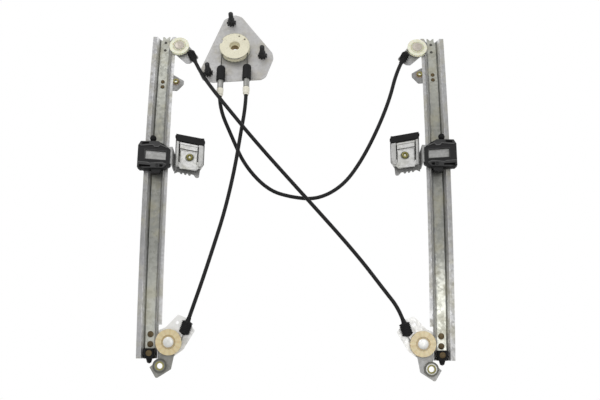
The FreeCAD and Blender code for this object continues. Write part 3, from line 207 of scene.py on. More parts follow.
class StageSettings(bpy.types.PropertyGroup):
    camera_place: bpy.props.FloatVectorProperty(
        name="Camera", description="Where the camera stands",
        default=(0.108, -1.495, -0.712), subtype="TRANSLATION", unit="LENGTH", size=3)
    look_up: bpy.props.FloatProperty(
        name="Look up", description="How far the camera looks up from level",
        default=math.radians(17), unit="ROTATION")
    roll: bpy.props.FloatProperty(
        name="Roll", description="Turn of the camera about its line of sight",
        default=math.radians(0.43), unit="ROTATION")
    lens: bpy.props.FloatProperty(
        name="Lens", description="Focal length on a 36 mm sensor", default=60, min=20, max=200)
    floor_drop: bpy.props.FloatProperty(
        name="Floor drop", description="Height of the floor below the regulator",
        default=0.25, min=0, max=2, unit="LENGTH")
    key_power: bpy.props.FloatProperty(
        name="Key light", description="Power of the main lamp", default=6, min=0, unit="POWER")
    front_power: bpy.props.FloatProperty(
        name="Front light", description="Power of the low lamp that the rails' lower ends catch",
        default=3.0, min=0, unit="POWER")
    sky: bpy.props.FloatProperty(
        name="Surroundings", description="Strength of the light all round",
        default=0.68, min=0, max=2)


# Shader nodes and groups
def feed(tree, node, values):
    """Give a node's inputs, by name or number, plain values or other nodes' output sockets."""
    for key, value in values.items():
        if isinstance(value, bpy.types.NodeSocket):
            tree.links.new(value, node.inputs[key])
        else:
            node.inputs[key].default_value = value


def add(tree, kind, values=None, **settings):
    node = tree.nodes.new(kind)
    for key, value in settings.items():
        setattr(node, key, value)
    feed(tree, node, values or {})
    return node


def group_tree(name, inputs, outputs):
    """A new group, whose inputs' defaults tell colours, vectors and plain numbers apart."""
    kinds = {4: "NodeSocketColor", 3: "NodeSocketVector"}
    tree = bpy.data.node_groups.new(name, "ShaderNodeTree")
    for label, value in inputs.items():
        kind = kinds[len(value)] if isinstance(value, tuple) else "NodeSocketFloat"
        socket = tree.interface.new_socket(name=label, in_out="INPUT", socket_type=kind)
        socket.default_value = value
    for label in outputs:
        kind = "NodeSocketColor" if label == "Colour" else "NodeSocketFloat"
        tree.interface.new_socket(name=label, in_out="OUTPUT", socket_type=kind)
    return tree, tree.nodes.new("NodeGroupInput").outputs, tree.nodes.new("NodeGroupOutput")


def object_place(tree):
    return add(tree, "ShaderNodeTexCoord").outputs["Object"]


def axes_of(tree, vector):
    return add(tree, "ShaderNodeSeparateXYZ", {0: vector}).outputs


def noise(tree, place, scale, detail=3, roughness=0.5):
    return add(tree, "ShaderNodeTexNoise", {
        "Vector": place, "Scale": scale, "Detail": detail, "Roughness": roughness}).outputs["Fac"]


def ramp(tree, value, low, high):
    """0 below the low value and 1 above the high one, with a soft step between."""
    return add(tree, "ShaderNodeMapRange", {"Value": value, "From Min": low, "From Max": high},
               interpolation_type="SMOOTHSTEP").outputs["Result"]


def fade(tree, value, low, high, **settings):
    """1 below the low value and 0 above the high one."""
    return add(tree, "ShaderNodeMapRange", {
        "Value": value, "From Min": low, "From Max": high, "To Min": 1, "To Max": 0},
        **settings).outputs["Result"]


def arithmetic(tree, operation, *values):
    return add(tree, "ShaderNodeMath", dict(enumerate(values)), operation=operation).outputs[0]


def blend_colour(tree, factor, first, second):
    return add(tree, "ShaderNodeMix", {0: factor, 6: first, 7: second}, data_type="RGBA").outputs[2]


def shaded(tree, colour, value):
    """A colour made darker or lighter."""
    return add(tree, "ShaderNodeHueSaturation", {"Color": colour, "Value": value}).outputs[0]


def build_spangle():
    """Zinc crystals: patches of slightly different grey, with stains and fine specks."""
    tree, start, end = group_tree(
        "Zinc Spangle",
        {"Colour": (0.5, 0.5, 0.5, 1), "Stain": (0.4, 0.4, 0.3, 1), "Amount": 0.3, "Scale": 260.0},
        ("Colour", "Roughness", "Height"))
    place = object_place(tree)
    cells = add(tree, "ShaderNodeTexVoronoi", {"Vector": place, "Scale": start["Scale"]})
    flake = add(tree, "ShaderNodeSeparateColor", {"Color": cells.outputs["Color"]}).outputs[0]
    cloud = noise(tree, place, scale=38, detail=5, roughness=0.65)
    stain = ramp(tree, cloud, 0.42, 0.68)
    speck = ramp(tree, noise(tree, place, scale=900, detail=2), 0.35, 0.75)
    shade = arithmetic(tree, "MULTIPLY", flake, start["Amount"])
    spangled = blend_colour(tree, shade, start["Colour"], shaded(tree, start["Colour"], 0.55))
    cover = arithmetic(tree, "MULTIPLY", stain, 0.55)
    rough = arithmetic(tree, "MULTIPLY_ADD", flake, 0.18, 0.34)
    extra = arithmetic(tree, "MULTIPLY", stain, 0.14)
    feed(tree, end, {
        "Colour": blend_colour(tree, cover, spangled, start["Stain"]),
        "Roughness": arithmetic(tree, "ADD", rough, extra),
        "Height": arithmetic(tree, "ADD", speck, cloud)})
    return tree


def build_moulding():
    """Moulded plastic or rubber: clouds of dust, dark flecks and a fine grain."""
    tree, start, end = group_tree(
        "Moulded Surface",
        {"Colour": (0.5, 0.5, 0.5, 1), "Dust": (0.3, 0.3, 0.3, 1), "Dust Amount": 0.2,
         "Speckle": 0.2, "Scale": 60.0},
        ("Colour", "Mask", "Height"))
    place = object_place(tree)
    mask = ramp(tree, noise(tree, place, scale=start["Scale"], detail=4, roughness=0.6), 0.45, 0.75)
    dots = ramp(tree, noise(tree, place, scale=520, detail=2, roughness=0.7), 0.52, 0.66)
    dust = arithmetic(tree, "MULTIPLY", mask, start["Dust Amount"])
    dusty = blend_colour(tree, dust, start["Colour"], start["Dust"])
    fleck = arithmetic(tree, "MULTIPLY", dots, start["Speckle"])
    feed(tree, end, {
        "Colour": blend_colour(tree, fleck, dusty, shaded(tree, start["Colour"], 0.35)),
        "Mask": mask,
        "Height": noise(tree, place, scale=1100, detail=3, roughness=0.6)})
    return tree


def build_bands():
    """Masks on a pressed channel: web, the walls that take painted shade, the sloping parts beside
    them that take painted light, inner flange and the rail's middle, which takes painted shade.
    """
    tree, start, end = group_tree(
        "Channel Bands", {"Centre": 0.0, "Hand": 1.0, "Web": 0.0069, "Wall": 0.0092},
        ("Web", "Shaded Walls", "Inner", "Middle", "Slope"))
    place = object_place(tree)
    axes = axes_of(tree, place)
    waver = arithmetic(tree, "MULTIPLY", noise(tree, place, scale=90), 0.0016)
    across = arithmetic(tree, "SUBTRACT", axes["X"], start["Centre"])
    width = arithmetic(tree, "ADD", arithmetic(tree, "ABSOLUTE", across), waver)
    web = fade(tree, width, start["Web"], arithmetic(tree, "ADD", start["Web"], 0.0012))
    # painted shade goes on the walls, from the web's edge to about 9.2 mm from the centre line
    beyond = fade(tree, width, arithmetic(tree, "SUBTRACT", start["Wall"], 0.001),
                  arithmetic(tree, "ADD", start["Wall"], 0.0014))
    # painted light: the sloping parts out to about 12.4 mm from the centre line are lightened
    lit_slope = fade(tree, width, 0.0124, 0.0132)
    inward = arithmetic(tree, "MULTIPLY", across, start["Hand"])
    # the rail's middle lies 0.235 m below the drum's axis
    from_middle = arithmetic(tree, "ABSOLUTE", arithmetic(tree, "ADD", axes["Z"], 0.235))
    feed(tree, end, {
        "Web": web,
        "Shaded Walls": arithmetic(tree, "SUBTRACT", beyond, web),
        "Inner": ramp(tree, inward, 0.010, 0.014),
        "Middle": fade(tree, from_middle, 0.06, 0.21, interpolation_type="SMOOTHSTEP"),
        "Slope": arithmetic(tree, "SUBTRACT", lit_slope, web)})
    return tree


def build_rays():
    """Faint moulded rays and a ring round an axis, as flow lines in clear nylon."""
    tree, start, end = group_tree(
        "Moulded Rays", {"Centre": (0, 0, 0), "Rays": 14.0, "Ring": 0.0125}, ("Rays", "Rim"))
    place = object_place(tree)
    arm = add(tree, "ShaderNodeVectorMath", {0: place, 1: start["Centre"]}, operation="SUBTRACT")
    axes = axes_of(tree, arm.outputs[0])
    turn = arithmetic(tree, "ARCTAN2", axes["X"], axes["Z"])
    wave = arithmetic(tree, "SINE", arithmetic(tree, "MULTIPLY", turn, start["Rays"]))
    waver = arithmetic(tree, "MULTIPLY", noise(tree, place, scale=160), 2)
    flat = add(tree, "ShaderNodeCombineXYZ", {0: axes["X"], 2: axes["Z"]}).outputs[0]
    reach = add(tree, "ShaderNodeVectorMath", {0: flat}, operation="LENGTH").outputs["Value"]
    away = arithmetic(tree, "ABSOLUTE", arithmetic(tree, "SUBTRACT", reach, start["Ring"]))
    feed(tree, end, {
        "Rays": ramp(tree, arithmetic(tree, "ADD", wave, waver), 0.5, 2.1),
        "Rim": fade(tree, away, 0.0004, 0.0018)})
    return tree


groups = {}


def use_group(tree, builder, values):
    """Place a group with its own values; the first material that needs it has it built."""
    if builder not in groups:
        groups[builder] = builder()
    return add(tree, "ShaderNodeGroup", values, node_tree=groups[builder]).outputs


def new_material(name):
    material = bpy.data.materials.new(name)
    material.use_nodes = True
    tree = material.node_tree
    return material, tree, tree.nodes["Principled BSDF"]


def colour4(colour):
    return (colour[0], colour[1], colour[2], 1)


def paint(tree, colour):
    """A plain colour, or what a colour function makes in the material's own node tree."""
    return colour(tree) if callable(colour) else colour4(colour)


def relief(tree, height, strength):
    return add(tree, "ShaderNodeBump", {
        "Height": height, "Strength": strength, "Distance": 0.0004}).outputs["Normal"]


def sheet_metal(name, colour, stain, spangle, scale=260.0, metallic=0.85, bump=0.05):
    """Plated sheet; the colour may be a colour function."""
    material, tree, shader = new_material(name)
    look = use_group(tree, build_spangle, {
        "Colour": paint(tree, colour), "Stain": colour4(stain), "Amount": spangle, "Scale": scale})
    feed(tree, shader, {
        "Base Color": look["Colour"], "Roughness": look["Roughness"], "Metallic": metallic,
        "Normal": relief(tree, look["Height"], bump)})
    return material


def moulded(name, colour, dust, dust_amount=0.2, speckle=0.1, roughness=0.45, coat=0.0, bump=0.08,
            clear=0.0, gloss=0.5):
    """Moulded plastic or rubber; the colour may be a colour function."""
    material, tree, shader = new_material(name)
    look = use_group(tree, build_moulding, {
        "Colour": paint(tree, colour), "Dust": colour4(dust), "Dust Amount": dust_amount,
        "Speckle": speckle})
    rough = add(tree, "ShaderNodeMapRange", {
        "Value": look["Mask"], "To Min": roughness, "To Max": min(1, roughness + 0.2)})
    feed(tree, shader, {
        "Base Color": look["Colour"], "Roughness": rough.outputs["Result"], "Coat Weight": coat,
        "Specular IOR Level": gloss, "Subsurface Weight": clear,
        "Subsurface Radius": (0.006, 0.004, 0.002), "Normal": relief(tree, look["Height"], bump)})
    return material


def channel_colour(metal, centre, hand, inner, outer, gain, web_gain):
    """Colours across a rail: clean web, painted shade on the walls and over the rail's middle,
    painted light on the sloping parts beside the walls, flanges of two shades and a low end made
    paler by painted light.
    """
    def flange(share):
        return colour4([min(1, value * share) for value in metal.flange_colour])

    def layers(tree):
        bands = use_group(tree, build_bands, {"Centre": centre, "Hand": hand})
        # painted shade over the rail's middle: the web darkens towards dark grey and a dark grey
        # layer covers the whole width
        web_middle_shade = arithmetic(tree, "MULTIPLY", bands["Middle"], 0.4)
        middle_shade = arithmetic(tree, "MULTIPLY", bands["Middle"], 0.3)
        web = blend_colour(tree, web_middle_shade, colour4(metal.web_colour), (0.16, 0.16, 0.155, 1))
        colour = blend_colour(tree, bands["Inner"], flange(outer), flange(inner))
        # painted light on the sloping parts, painted shade on the walls and over the middle
        for mask, over in ((bands["Web"], web), (bands["Slope"], flange(1.7)),
                           (bands["Shaded Walls"], colour4(metal.wall_shade_colour)),
                           (middle_shade, (0.12, 0.12, 0.115, 1))):
            colour = blend_colour(tree, mask, colour, over)
        # painted light: the sheet grows paler from 0.32 to 0.43 m below the drum's axis
        height = axes_of(tree, object_place(tree))["Z"]
        low = ramp(tree, arithmetic(tree, "MULTIPLY", height, -1), 0.32, 0.43)
        painted_light_gain = arithmetic(tree, "MULTIPLY_ADD", bands["Web"], web_gain, gain)
        return shaded(tree, colour, arithmetic(tree, "MULTIPLY_ADD", low, painted_light_gain, 1))
    return layers


def ray_colour(colour, ray, rim, centre, count, ring):
    """A pulley's colour with rays and a ring round its pin."""
    def layers(tree):
        look = use_group(tree, build_rays, {"Centre": centre, "Rays": count, "Ring": ring})
        rays = arithmetic(tree, "MULTIPLY", look["Rays"], 0.6)
        rimmed = arithmetic(tree, "MULTIPLY", look["Rim"], 0.7)
        return blend_colour(tree, rimmed, blend_colour(tree, rays, colour4(colour), colour4(ray)),
                            colour4(rim))
    return layers


def slotted_colour(colour, slot, centre, count, ring):
    """The drum's colour, with greyish slots round its side."""
    def layers(tree):
        look = use_group(tree, build_rays, {"Centre": centre, "Rays": count, "Ring": ring})
        share = arithmetic(tree, "MULTIPLY_ADD", look["Rays"], 0.4, 0.6)
        return blend_colour(tree, arithmetic(tree, "MULTIPLY", look["Rim"], share),
                            colour4(colour), colour4(slot))
    return layers


def foot_colour(colour, foot, centre, reach):
    """A colour with a darker one round the foot of a rail."""
    def layers(tree):
        away = add(tree, "ShaderNodeVectorMath", {0: object_place(tree), 1: centre},
                   operation="DISTANCE").outputs["Value"]
        near = fade(tree, away, reach, reach + 0.001)
        return blend_colour(tree, near, colour4(colour), colour4(foot))
    return layers


def middle_of(name):
    """The middle of a node's box."""
    places = [vertex.co for vertex in nodes[name].data.vertices]
    low = Vector([min(place[axis] for place in places) for axis in range(3)])
    high = Vector([max(place[axis] for place in places) for axis in range(3)])
    return (low + high) / 2


def dress(names, material):
    """Give CAD nodes a material."""
    for name in names:
        node = nodes[name]
        node.data.materials.clear()
        node.data.materials.append(material)


def both(*names):
    return [f"{side}_{name}" for side, _ in SIDES for name in names]


# Shapes, in millimetres
def plate(shape, loops, start, depth, edge=0.0, hand=1):
    """Add a flat blank: an outline, then its holes, thick towards -Y; hand -1 mirrors it."""
    rim = []
    for loop in loops:
        corners = [shape.verts.new((x * hand / 1000, -start / 1000, z / 1000)) for x, z in loop]
        rim += [shape.edges.new((corners[index - 1], corners[index]))
                for index in range(len(corners))]
    flat = bmesh.ops.triangle_fill(shape, edges=rim, use_beauty=True, use_dissolve=True,
                                   normal=(0, -1, 0))
    faces = [item for item in flat["geom"] if isinstance(item, bmesh.types.BMFace)]
    front = bmesh.ops.extrude_face_region(shape, geom=faces, use_keep_orig=True)
    moved = [item for item in front["geom"] if isinstance(item, bmesh.types.BMVert)]
    bmesh.ops.translate(shape, verts=moved, vec=(0, -depth / 1000, 0))
    if edge:
        level = -(start + depth) / 1000
        crest = [item for item in front["geom"] if isinstance(item, bmesh.types.BMEdge)
                 and all(abs(vert.co.y - level) < 1e-6 for vert in item.verts)
                 and (len(item.link_faces) < 2 or item.calc_face_angle(0) > 0.5)]
        bmesh.ops.bevel(shape, geom=crest, offset=edge / 1000, offset_type="OFFSET", segments=2,
                        profile=0.5, affect="EDGES", material=-1)


def plates(hand, *blanks):
    """A new bmesh of plates, each given by its loops, start, depth and, if any, rounded edge."""
    shape = bmesh.new()
    for loops, *sizes in blanks:
        plate(shape, loops, *sizes, hand=hand)
    return shape


def turned(shape, profile, steps=32, at=(0, 0), start=0.0):
    """Add a turned piece: (radius, reach towards -Y) spun round an axis along Y."""
    line = [shape.verts.new(((at[0] + radius) / 1000, -(start + reach) / 1000, at[1] / 1000))
            for radius, reach in profile]
    edges = [shape.edges.new(pair) for pair in zip(line, line[1:])]
    bmesh.ops.spin(shape, geom=line + edges, cent=(at[0] / 1000, 0, at[1] / 1000), axis=(0, 1, 0),
                   angle=math.tau, steps=steps, use_merge=True)
    bmesh.ops.remove_doubles(shape, verts=shape.verts, dist=1e-6)


def circle(count, radius, at=(0, 0)):
    """Outline of a round hole."""
    turns = [math.tau * step / count for step in range(count)]
    return [(at[0] + radius * math.cos(turn), at[1] + radius * math.sin(turn)) for turn in turns]


def toothed(count, radius, depth, at=(0, 0), phase=0.0):
    """Outline with teeth: count teeth of the given depth outside a circle."""
    spots = []
    for index in range(count):
        for part, reach in ((0, radius), (0.16, radius + depth), (0.5, radius + depth),
                            (0.66, radius)):
            turn = math.tau * (index + part + phase) / count
            spots.append((at[0] + reach * math.cos(turn), at[1] + reach * math.sin(turn)))
    return spots


def casing_end(route, end, following):
    """A casing's end and the way from it along the casing, in metres."""
    tip = Vector(ROUTES[route][end])
    return tip, (Vector(ROUTES[route][following]) - tip).normalized()


def placed(tip, across, back, up):
    """The matrix that stands a piece at a casing's end, on the given X, Y and Z axes."""
    return Matrix.Translation(tip) @ Matrix((across, back, up)).transposed().to_4x4()


def finished(name, shape, place, body, material, replaced=(), smooth=False):
    """Make the piece from its bmesh, put its place in the mesh and tie it to its body."""
    bmesh.ops.transform(shape, matrix=place, verts=shape.verts)
    bmesh.ops.recalc_face_normals(shape, faces=shape.faces)
    mesh = bpy.data.meshes.new(name)
    shape.to_mesh(mesh)
    shape.free()
    if smooth:
        mesh.shade_smooth()
        mesh.set_sharp_from_angle(angle=math.radians(35))
    mesh.materials.append(material)
    piece = bpy.data.objects.new(name, mesh)
    bpy.context.scene.collection.objects.link(piece)
    if replaced:
        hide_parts(*replaced)
    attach(piece, body)
    return piece


class REGULATOR_OT_rails(bpy.types.Operator):
    """Finish the rails, their brackets, ears and rivets"""
    bl_idname = "regulator.rails"
    bl_label = "Rails and Brackets"

    def execute(self, context):
        metal = context.scene.regulator_metal
        plastic = context.scene.regulator_plastic
        # shares of the flange colour inwards and outwards, then the painted light low down, and
        # extra of it on the web
        shades = ((1.15, 0.77, 0.15, 0.05), (1.05, 0.88, 0.15, 0.75))
        for (side, hand), shade in zip(SIDES, shades):
            colour = channel_colour(metal, middle_of(f"{side}_rail").x, hand, *shade)
            rail = sheet_metal(
                f"galvanised_{side}_rail", colour, (0.42, 0.40, 0.30), spangle=metal.spangle)
            dress([f"{side}_rail"], rail)
        dress(both("upper_bracket"), sheet_metal(
            "galvanised_bracket", (0.42, 0.42, 0.425), (0.34, 0.34, 0.32),
            spangle=metal.spangle * 0.5, scale=320.0, metallic=0.7))
        for side, name, shade, foot, stain in (
                ("left", "grey_footed_bracket", (0.24, 0.24, 0.225), LEFT_FOOT, (0.45, 0.44, 0.40)),
                ("right", "pale_footed_bracket", (0.34, 0.34, 0.335), RIGHT_FOOT,
                 (0.50, 0.49, 0.46))):
            colour = foot_colour(metal.bracket_colour, shade, *foot)
            dress([f"{side}_lower_bracket"], sheet_metal(
                name, colour, stain, spangle=metal.spangle * 0.5, scale=320.0, metallic=0.7))
        dress(both("upper_mount"), sheet_metal(
            "galvanised_ear", (0.28, 0.28, 0.275), (0.20, 0.20, 0.185), spangle=0.3, scale=320.0,
            metallic=0.8))
        dress(["rail_rivets"], sheet_metal(
            "brown_rivet", metal.rivet_colour, (0.20, 0.15, 0.07), spangle=0.4, scale=500.0,
            metallic=0.5))
        dress(["upper_mount_nuts"], sheet_metal(
            "yellow_zinc", metal.olive_colour, (0.12, 0.10, 0.02), spangle=0.3, scale=600.0,
            metallic=0.9))
        washer = foot_colour(metal.washer_colour, (0.24, 0.24, 0.215), *LEFT_FOOT)
        dress(["lower_mount_washers"], sheet_metal(
            "two_washers", washer, (0.45, 0.45, 0.38), spangle=0.2, scale=420.0, metallic=0.85))
        dress(["lower_mount_collars"], sheet_metal(
            "grey_collar", (0.30, 0.30, 0.27), (0.2, 0.2, 0.17), spangle=0.3, scale=420.0,
            metallic=0.8))
        dress(both("lower_stop"), moulded(
            "stop_rubber", plastic.black_colour, (0.03, 0.03, 0.03), dust_amount=0.3, speckle=0,
            roughness=0.7, gloss=0.2))
        return {"FINISHED"}


class REGULATOR_OT_pulleys(bpy.types.Operator):
    """Finish the four pulleys and their pins"""
    bl_idname = "regulator.pulleys"
    bl_label = "Pulleys"

    def execute(self, context):
        plastic = context.scene.regulator_plastic
        for name in both("upper_pulley"):
            colour = ray_colour(
                plastic.cream_colour, (0.86, 0.85, 0.64), (0.62, 0.59, 0.44), middle_of(name),
                count=9.0, ring=0.0095)
            dress([name], moulded(
                f"cream_{name}", colour, (0.6, 0.55, 0.36), dust_amount=0.3, speckle=0.05,
                roughness=0.35, coat=0.2, clear=0.1))
        for name in both("lower_pulley"):
            colour = ray_colour(
                plastic.amber_colour, (0.66, 0.52, 0.28), (0.46, 0.34, 0.17), middle_of(name),
                count=13.0, ring=0.0092)
            dress([name], moulded(
                f"amber_{name}", colour, (0.50, 0.38, 0.18), dust_amount=0.3, speckle=0.05,
                roughness=0.25, coat=0.4, clear=0.2))
        dress(["lower_pulley_pins"], sheet_metal(
            "zinc_pin", (0.82, 0.82, 0.80), (0.6, 0.6, 0.55), spangle=0.15, scale=420.0,
            metallic=0.85))
        dress(["upper_pulley_pins"], sheet_metal(
            "rosy_pin", (0.56, 0.52, 0.46), (0.46, 0.40, 0.34), spangle=0.25, scale=420.0,
            metallic=0.8))
        return {"FINISHED"}


class REGULATOR_OT_drum(bpy.types.Operator):
    """Finish the drum, its plate, bush, ports and cables"""
    bl_idname = "regulator.drum"
    bl_label = "Drum and Plate"

    def execute(self, context):
        metal = context.scene.regulator_metal
        plastic = context.scene.regulator_plastic
        dress(["drum_plate"], sheet_metal(
            "pale_plate", metal.plate_colour, (0.46, 0.43, 0.35), spangle=0.22, scale=300.0,
            metallic=0.6))
        dress(["drum_bush"], sheet_metal(
            "bronze_bush", (0.30, 0.22, 0.10), (0.2, 0.15, 0.08), spangle=0.3, scale=600.0,
            metallic=0.9))
        slotted = slotted_colour(
            plastic.drum_colour, (0.20, 0.21, 0.16), middle_of("cable_drum"), count=26, ring=0.0254)
        dress(["cable_drum"], moulded(
            "ivory_drum", slotted, (0.62, 0.58, 0.44), dust_amount=0.3, speckle=0.25,
            roughness=0.45, bump=0.15))
        ivory = moulded(
            "ivory_ferrule", plastic.ivory_colour, (0.62, 0.58, 0.44), dust_amount=0.25,
            speckle=0.05, roughness=0.35, coat=0.2)
        dress(both("port_ferrule"), ivory)
        for side, _ in SIDES:
            tip, away = casing_end(f"{side}_port_casing", 0, 1)
            across = Vector((1, 0, 0))
            shape = bmesh.new()
            turned(shape, [(4.7, -8.6), (5.6, -8.2), (5.6, -3.4), (5.2, -2.6), (5.2, 1.6),
                           (4.4, 2.2), (4.4, -8.0), (4.7, -8.6)], steps=36)
            finished(f"{side}_ferrule_collar", shape,
                     placed(tip, across, -away, across.cross(-away)), "frame",
                     ivory, smooth=True)
        dress(both("port_sleeve"), sheet_metal(
            "bright_sleeve", (0.40, 0.40, 0.385), (0.2, 0.2, 0.17), spangle=0.35, scale=700.0,
            metallic=0.95))
        dress(both("port_boot"), moulded(
            "boot_rubber", plastic.black_colour, (0.03, 0.03, 0.03), dust_amount=0.2, speckle=0,
            roughness=0.6, gloss=0.25))
        dress(["drum_windings", "port_springs"] + both("rail_cable", "cable_nipples"), sheet_metal(
            "steel_wire", (0.32, 0.32, 0.31), (0.2, 0.19, 0.16), spangle=0.5, scale=1200.0,
            metallic=0.9))
        dress(both("drum_cable"), sheet_metal(
            "oily_wire", (0.11, 0.11, 0.10), (0.06, 0.06, 0.05), spangle=0.5, scale=1200.0,
            metallic=0.8))
        return {"FINISHED"}


class REGULATOR_OT_sliders(bpy.types.Operator):
    """Mould the two sliders with their sloping windows"""
    bl_idname = "regulator.sliders"
    bl_label = "Sliders"

    def execute(self, context):
        plastic = context.scene.regulator_plastic
        black = moulded(
            "slider_plastic", plastic.black_colour, (0.035, 0.035, 0.035), dust_amount=0.25,
            speckle=0, roughness=0.5, gloss=0.3)
        # painted highlights: light grey strips along the slider's edges
        edge_highlight = moulded(
            "painted_edge_highlights", (0.085, 0.085, 0.085), (0.14, 0.14, 0.14), dust_amount=0.6, speckle=0.3,
            roughness=0.4, gloss=0.5)
        # painted shade: near-black patches where the crest and the ledge have recesses
        hollow_shade = moulded(
            "painted_hollow_shade", (0.002, 0.002, 0.002), (0.01, 0.01, 0.01), dust_amount=0.2, speckle=0,
            roughness=0.8, gloss=0.05)
        worn = moulded(
            "worn_plastic", (0.010, 0.010, 0.0105), (0.04, 0.04, 0.04), dust_amount=0.5, speckle=0,
            roughness=0.35, bump=0.2, gloss=0.5)
        parts = (("shell", self.shell, black), ("trim", self.trim, worn),
                 ("edges", self.edges, edge_highlight), ("hollow_shades", self.hollow_shades, hollow_shade))
        for (side, hand), angle in zip(SIDES, CARRIER_ANGLES):
            for part, shape, material in parts:
                finished(f"{side}_slider_{part}", shape(hand), station(RAIL_X[side], angle, 0),
                         f"{side}_carrier", material,
                         [f"{side}_slider"] if part == "shell" else ())
        dress(both("back_pad", "bumper"), moulded(
            "pad_rubber", plastic.black_colour, (0.025, 0.025, 0.025), dust_amount=0.2, speckle=0,
            roughness=0.7, gloss=0.2))
        return {"FINISHED"}

    def shell(self, hand):
        """The body on its rail, with its window, the arms round the flanges and the lower foot."""
        face = [(-28.9, -20), (-25.5, -23), (13.5, -23), (21.6, -15), (21.6, 9), (2, 22.9),
                (-25, 22.9), (-28.9, 16)]
        outer_rim = [(-28.9, -17.5), (-26, -19.5), (-26, 19), (-28.9, 15.5)]
        outer_arm = [(-28.9, -17), (-20.1, -22), (-20.1, 22), (-28.9, 15)]
        inner_arm = [(18.5, -17), (21.6, -14.5), (21.6, 9), (18.5, 11)]
        outer_hook = [(-20.1, -20), (-16, -20), (-16, 20), (-20.1, 20)]
        inner_hook = [(14.5, -17), (18.5, -17), (18.5, 11), (14.5, 13)]
        foot = [(-7, -22.6), (8.5, -22.6), (6.5, -28.6), (4, -29.6), (-5.5, -29.6), (-6.5, -28)]
        shape = plates(
            hand, ([face, SLIDER_WINDOW], 8.5, 1.9, 0.5), ([face], 0.4, 6.0),
            ([outer_rim], 6.4, 2.1), ([outer_arm], -5, 5.4), ([inner_arm], -5, 5.4),
            ([outer_hook], -5, 3), ([inner_hook], -5, 3), ([foot], 0.4, 8.2, 0.4))
        turned(shape, [(0, 0), (2.4, 0), (2.4, 1.7), (1.3, 1.7), (1.3, 0.4), (0, 0.4)], steps=20,
               at=(2.4 * hand, -18), start=11.0)
        return shape

    def trim(self, hand):
        """The raised ledge and crest, and the rim round the window."""
        ledge = [(-28.3, -11), (-12, -12.5), (-9, -14), (10, -12.5), (17.5, -16), (12, -22),
                 (-20, -22.4), (-28.3, -18)]
        crest = [(-24, 14), (-6, 15.5), (-3, 12), (3, 12), (6, 15), (17, 10), (19, 11.2), (2, 22.2),
                 (-24.4, 22.2), (-27.8, 16)]
        rim = [(-18.6, -7.9), (16.4, -10.6), (16.4, 6.4), (-18.6, 9.6)]
        return plates(hand, ([ledge], SLIDER_FACE, 1.4, 0.4), ([crest], SLIDER_FACE, 0.9, 0.3),
                      ([rim, SLIDER_WINDOW], SLIDER_FACE, 0.6, 0.2))

    def edges(self, hand):
        """Painted highlights: light lines along the ledge and the crest."""
        brow = [(-27.9, -11.5), (-12.2, -12.9), (-9.2, -14.4), (9.9, -12.9), (16.6, -16.1),
                (16.2, -16.9), (9.9, -13.9), (-9.2, -15.4), (-12.2, -13.9), (-27.9, -12.5)]
        sill = [(-26.6, 16.2), (-23.8, 14.5), (-5.8, 16), (-2.8, 12.5), (2.8, 12.5), (6, 15.6),
                (16.6, 10.8), (17.3, 11.6), (6, 16.6), (2.4, 13.5), (-2.4, 13.5), (-5.4, 17),
                (-23.6, 15.5), (-25.8, 17)]
        return plates(hand, ([brow], LEDGE_FACE, 0.25), ([sill], CREST_FACE, 0.25))

    def hollow_shades(self, hand):
        """Painted shade: near-black patches on the crest and the ledge, standing for the shade in
        their recesses.
        """
        return plates(
            hand, ([[(5.5, 20.0), (14.5, 14.6), (7.2, 17.2)]], CREST_FACE, 0.2),
            ([[(-22.5, 17.3), (-12, 18.2), (-12, 20.8), (-22.5, 20.2)]], CREST_FACE, 0.2),
            ([[(-26.5, -16.4), (-8, -17.8), (-8, -20.4), (-24.5, -20.4)]], LEDGE_FACE, 0.2),
            ([[(6, -16.2), (12, -17.2), (10, -20.6), (6.2, -20.6)]], LEDGE_FACE, 0.2))


SCREW_BORE = circle(count=24, radius=3.1, at=SCREW_AT)


def below_top(across, drop):
    """A spot on a clamp, so far below its sloping top."""
    fall = CLAMP_FALL * (across - CLAMP_LEFT) / (CLAMP_RIGHT - CLAMP_LEFT)
    return (across, CLAMP_TOP - fall - drop)


def band(left, right, low_drop, high_drop):
    """Outline of a band along a clamp's sloping top."""
    return [below_top(left, low_drop), below_top(right, low_drop), below_top(right, high_drop),
            below_top(left, high_drop)]


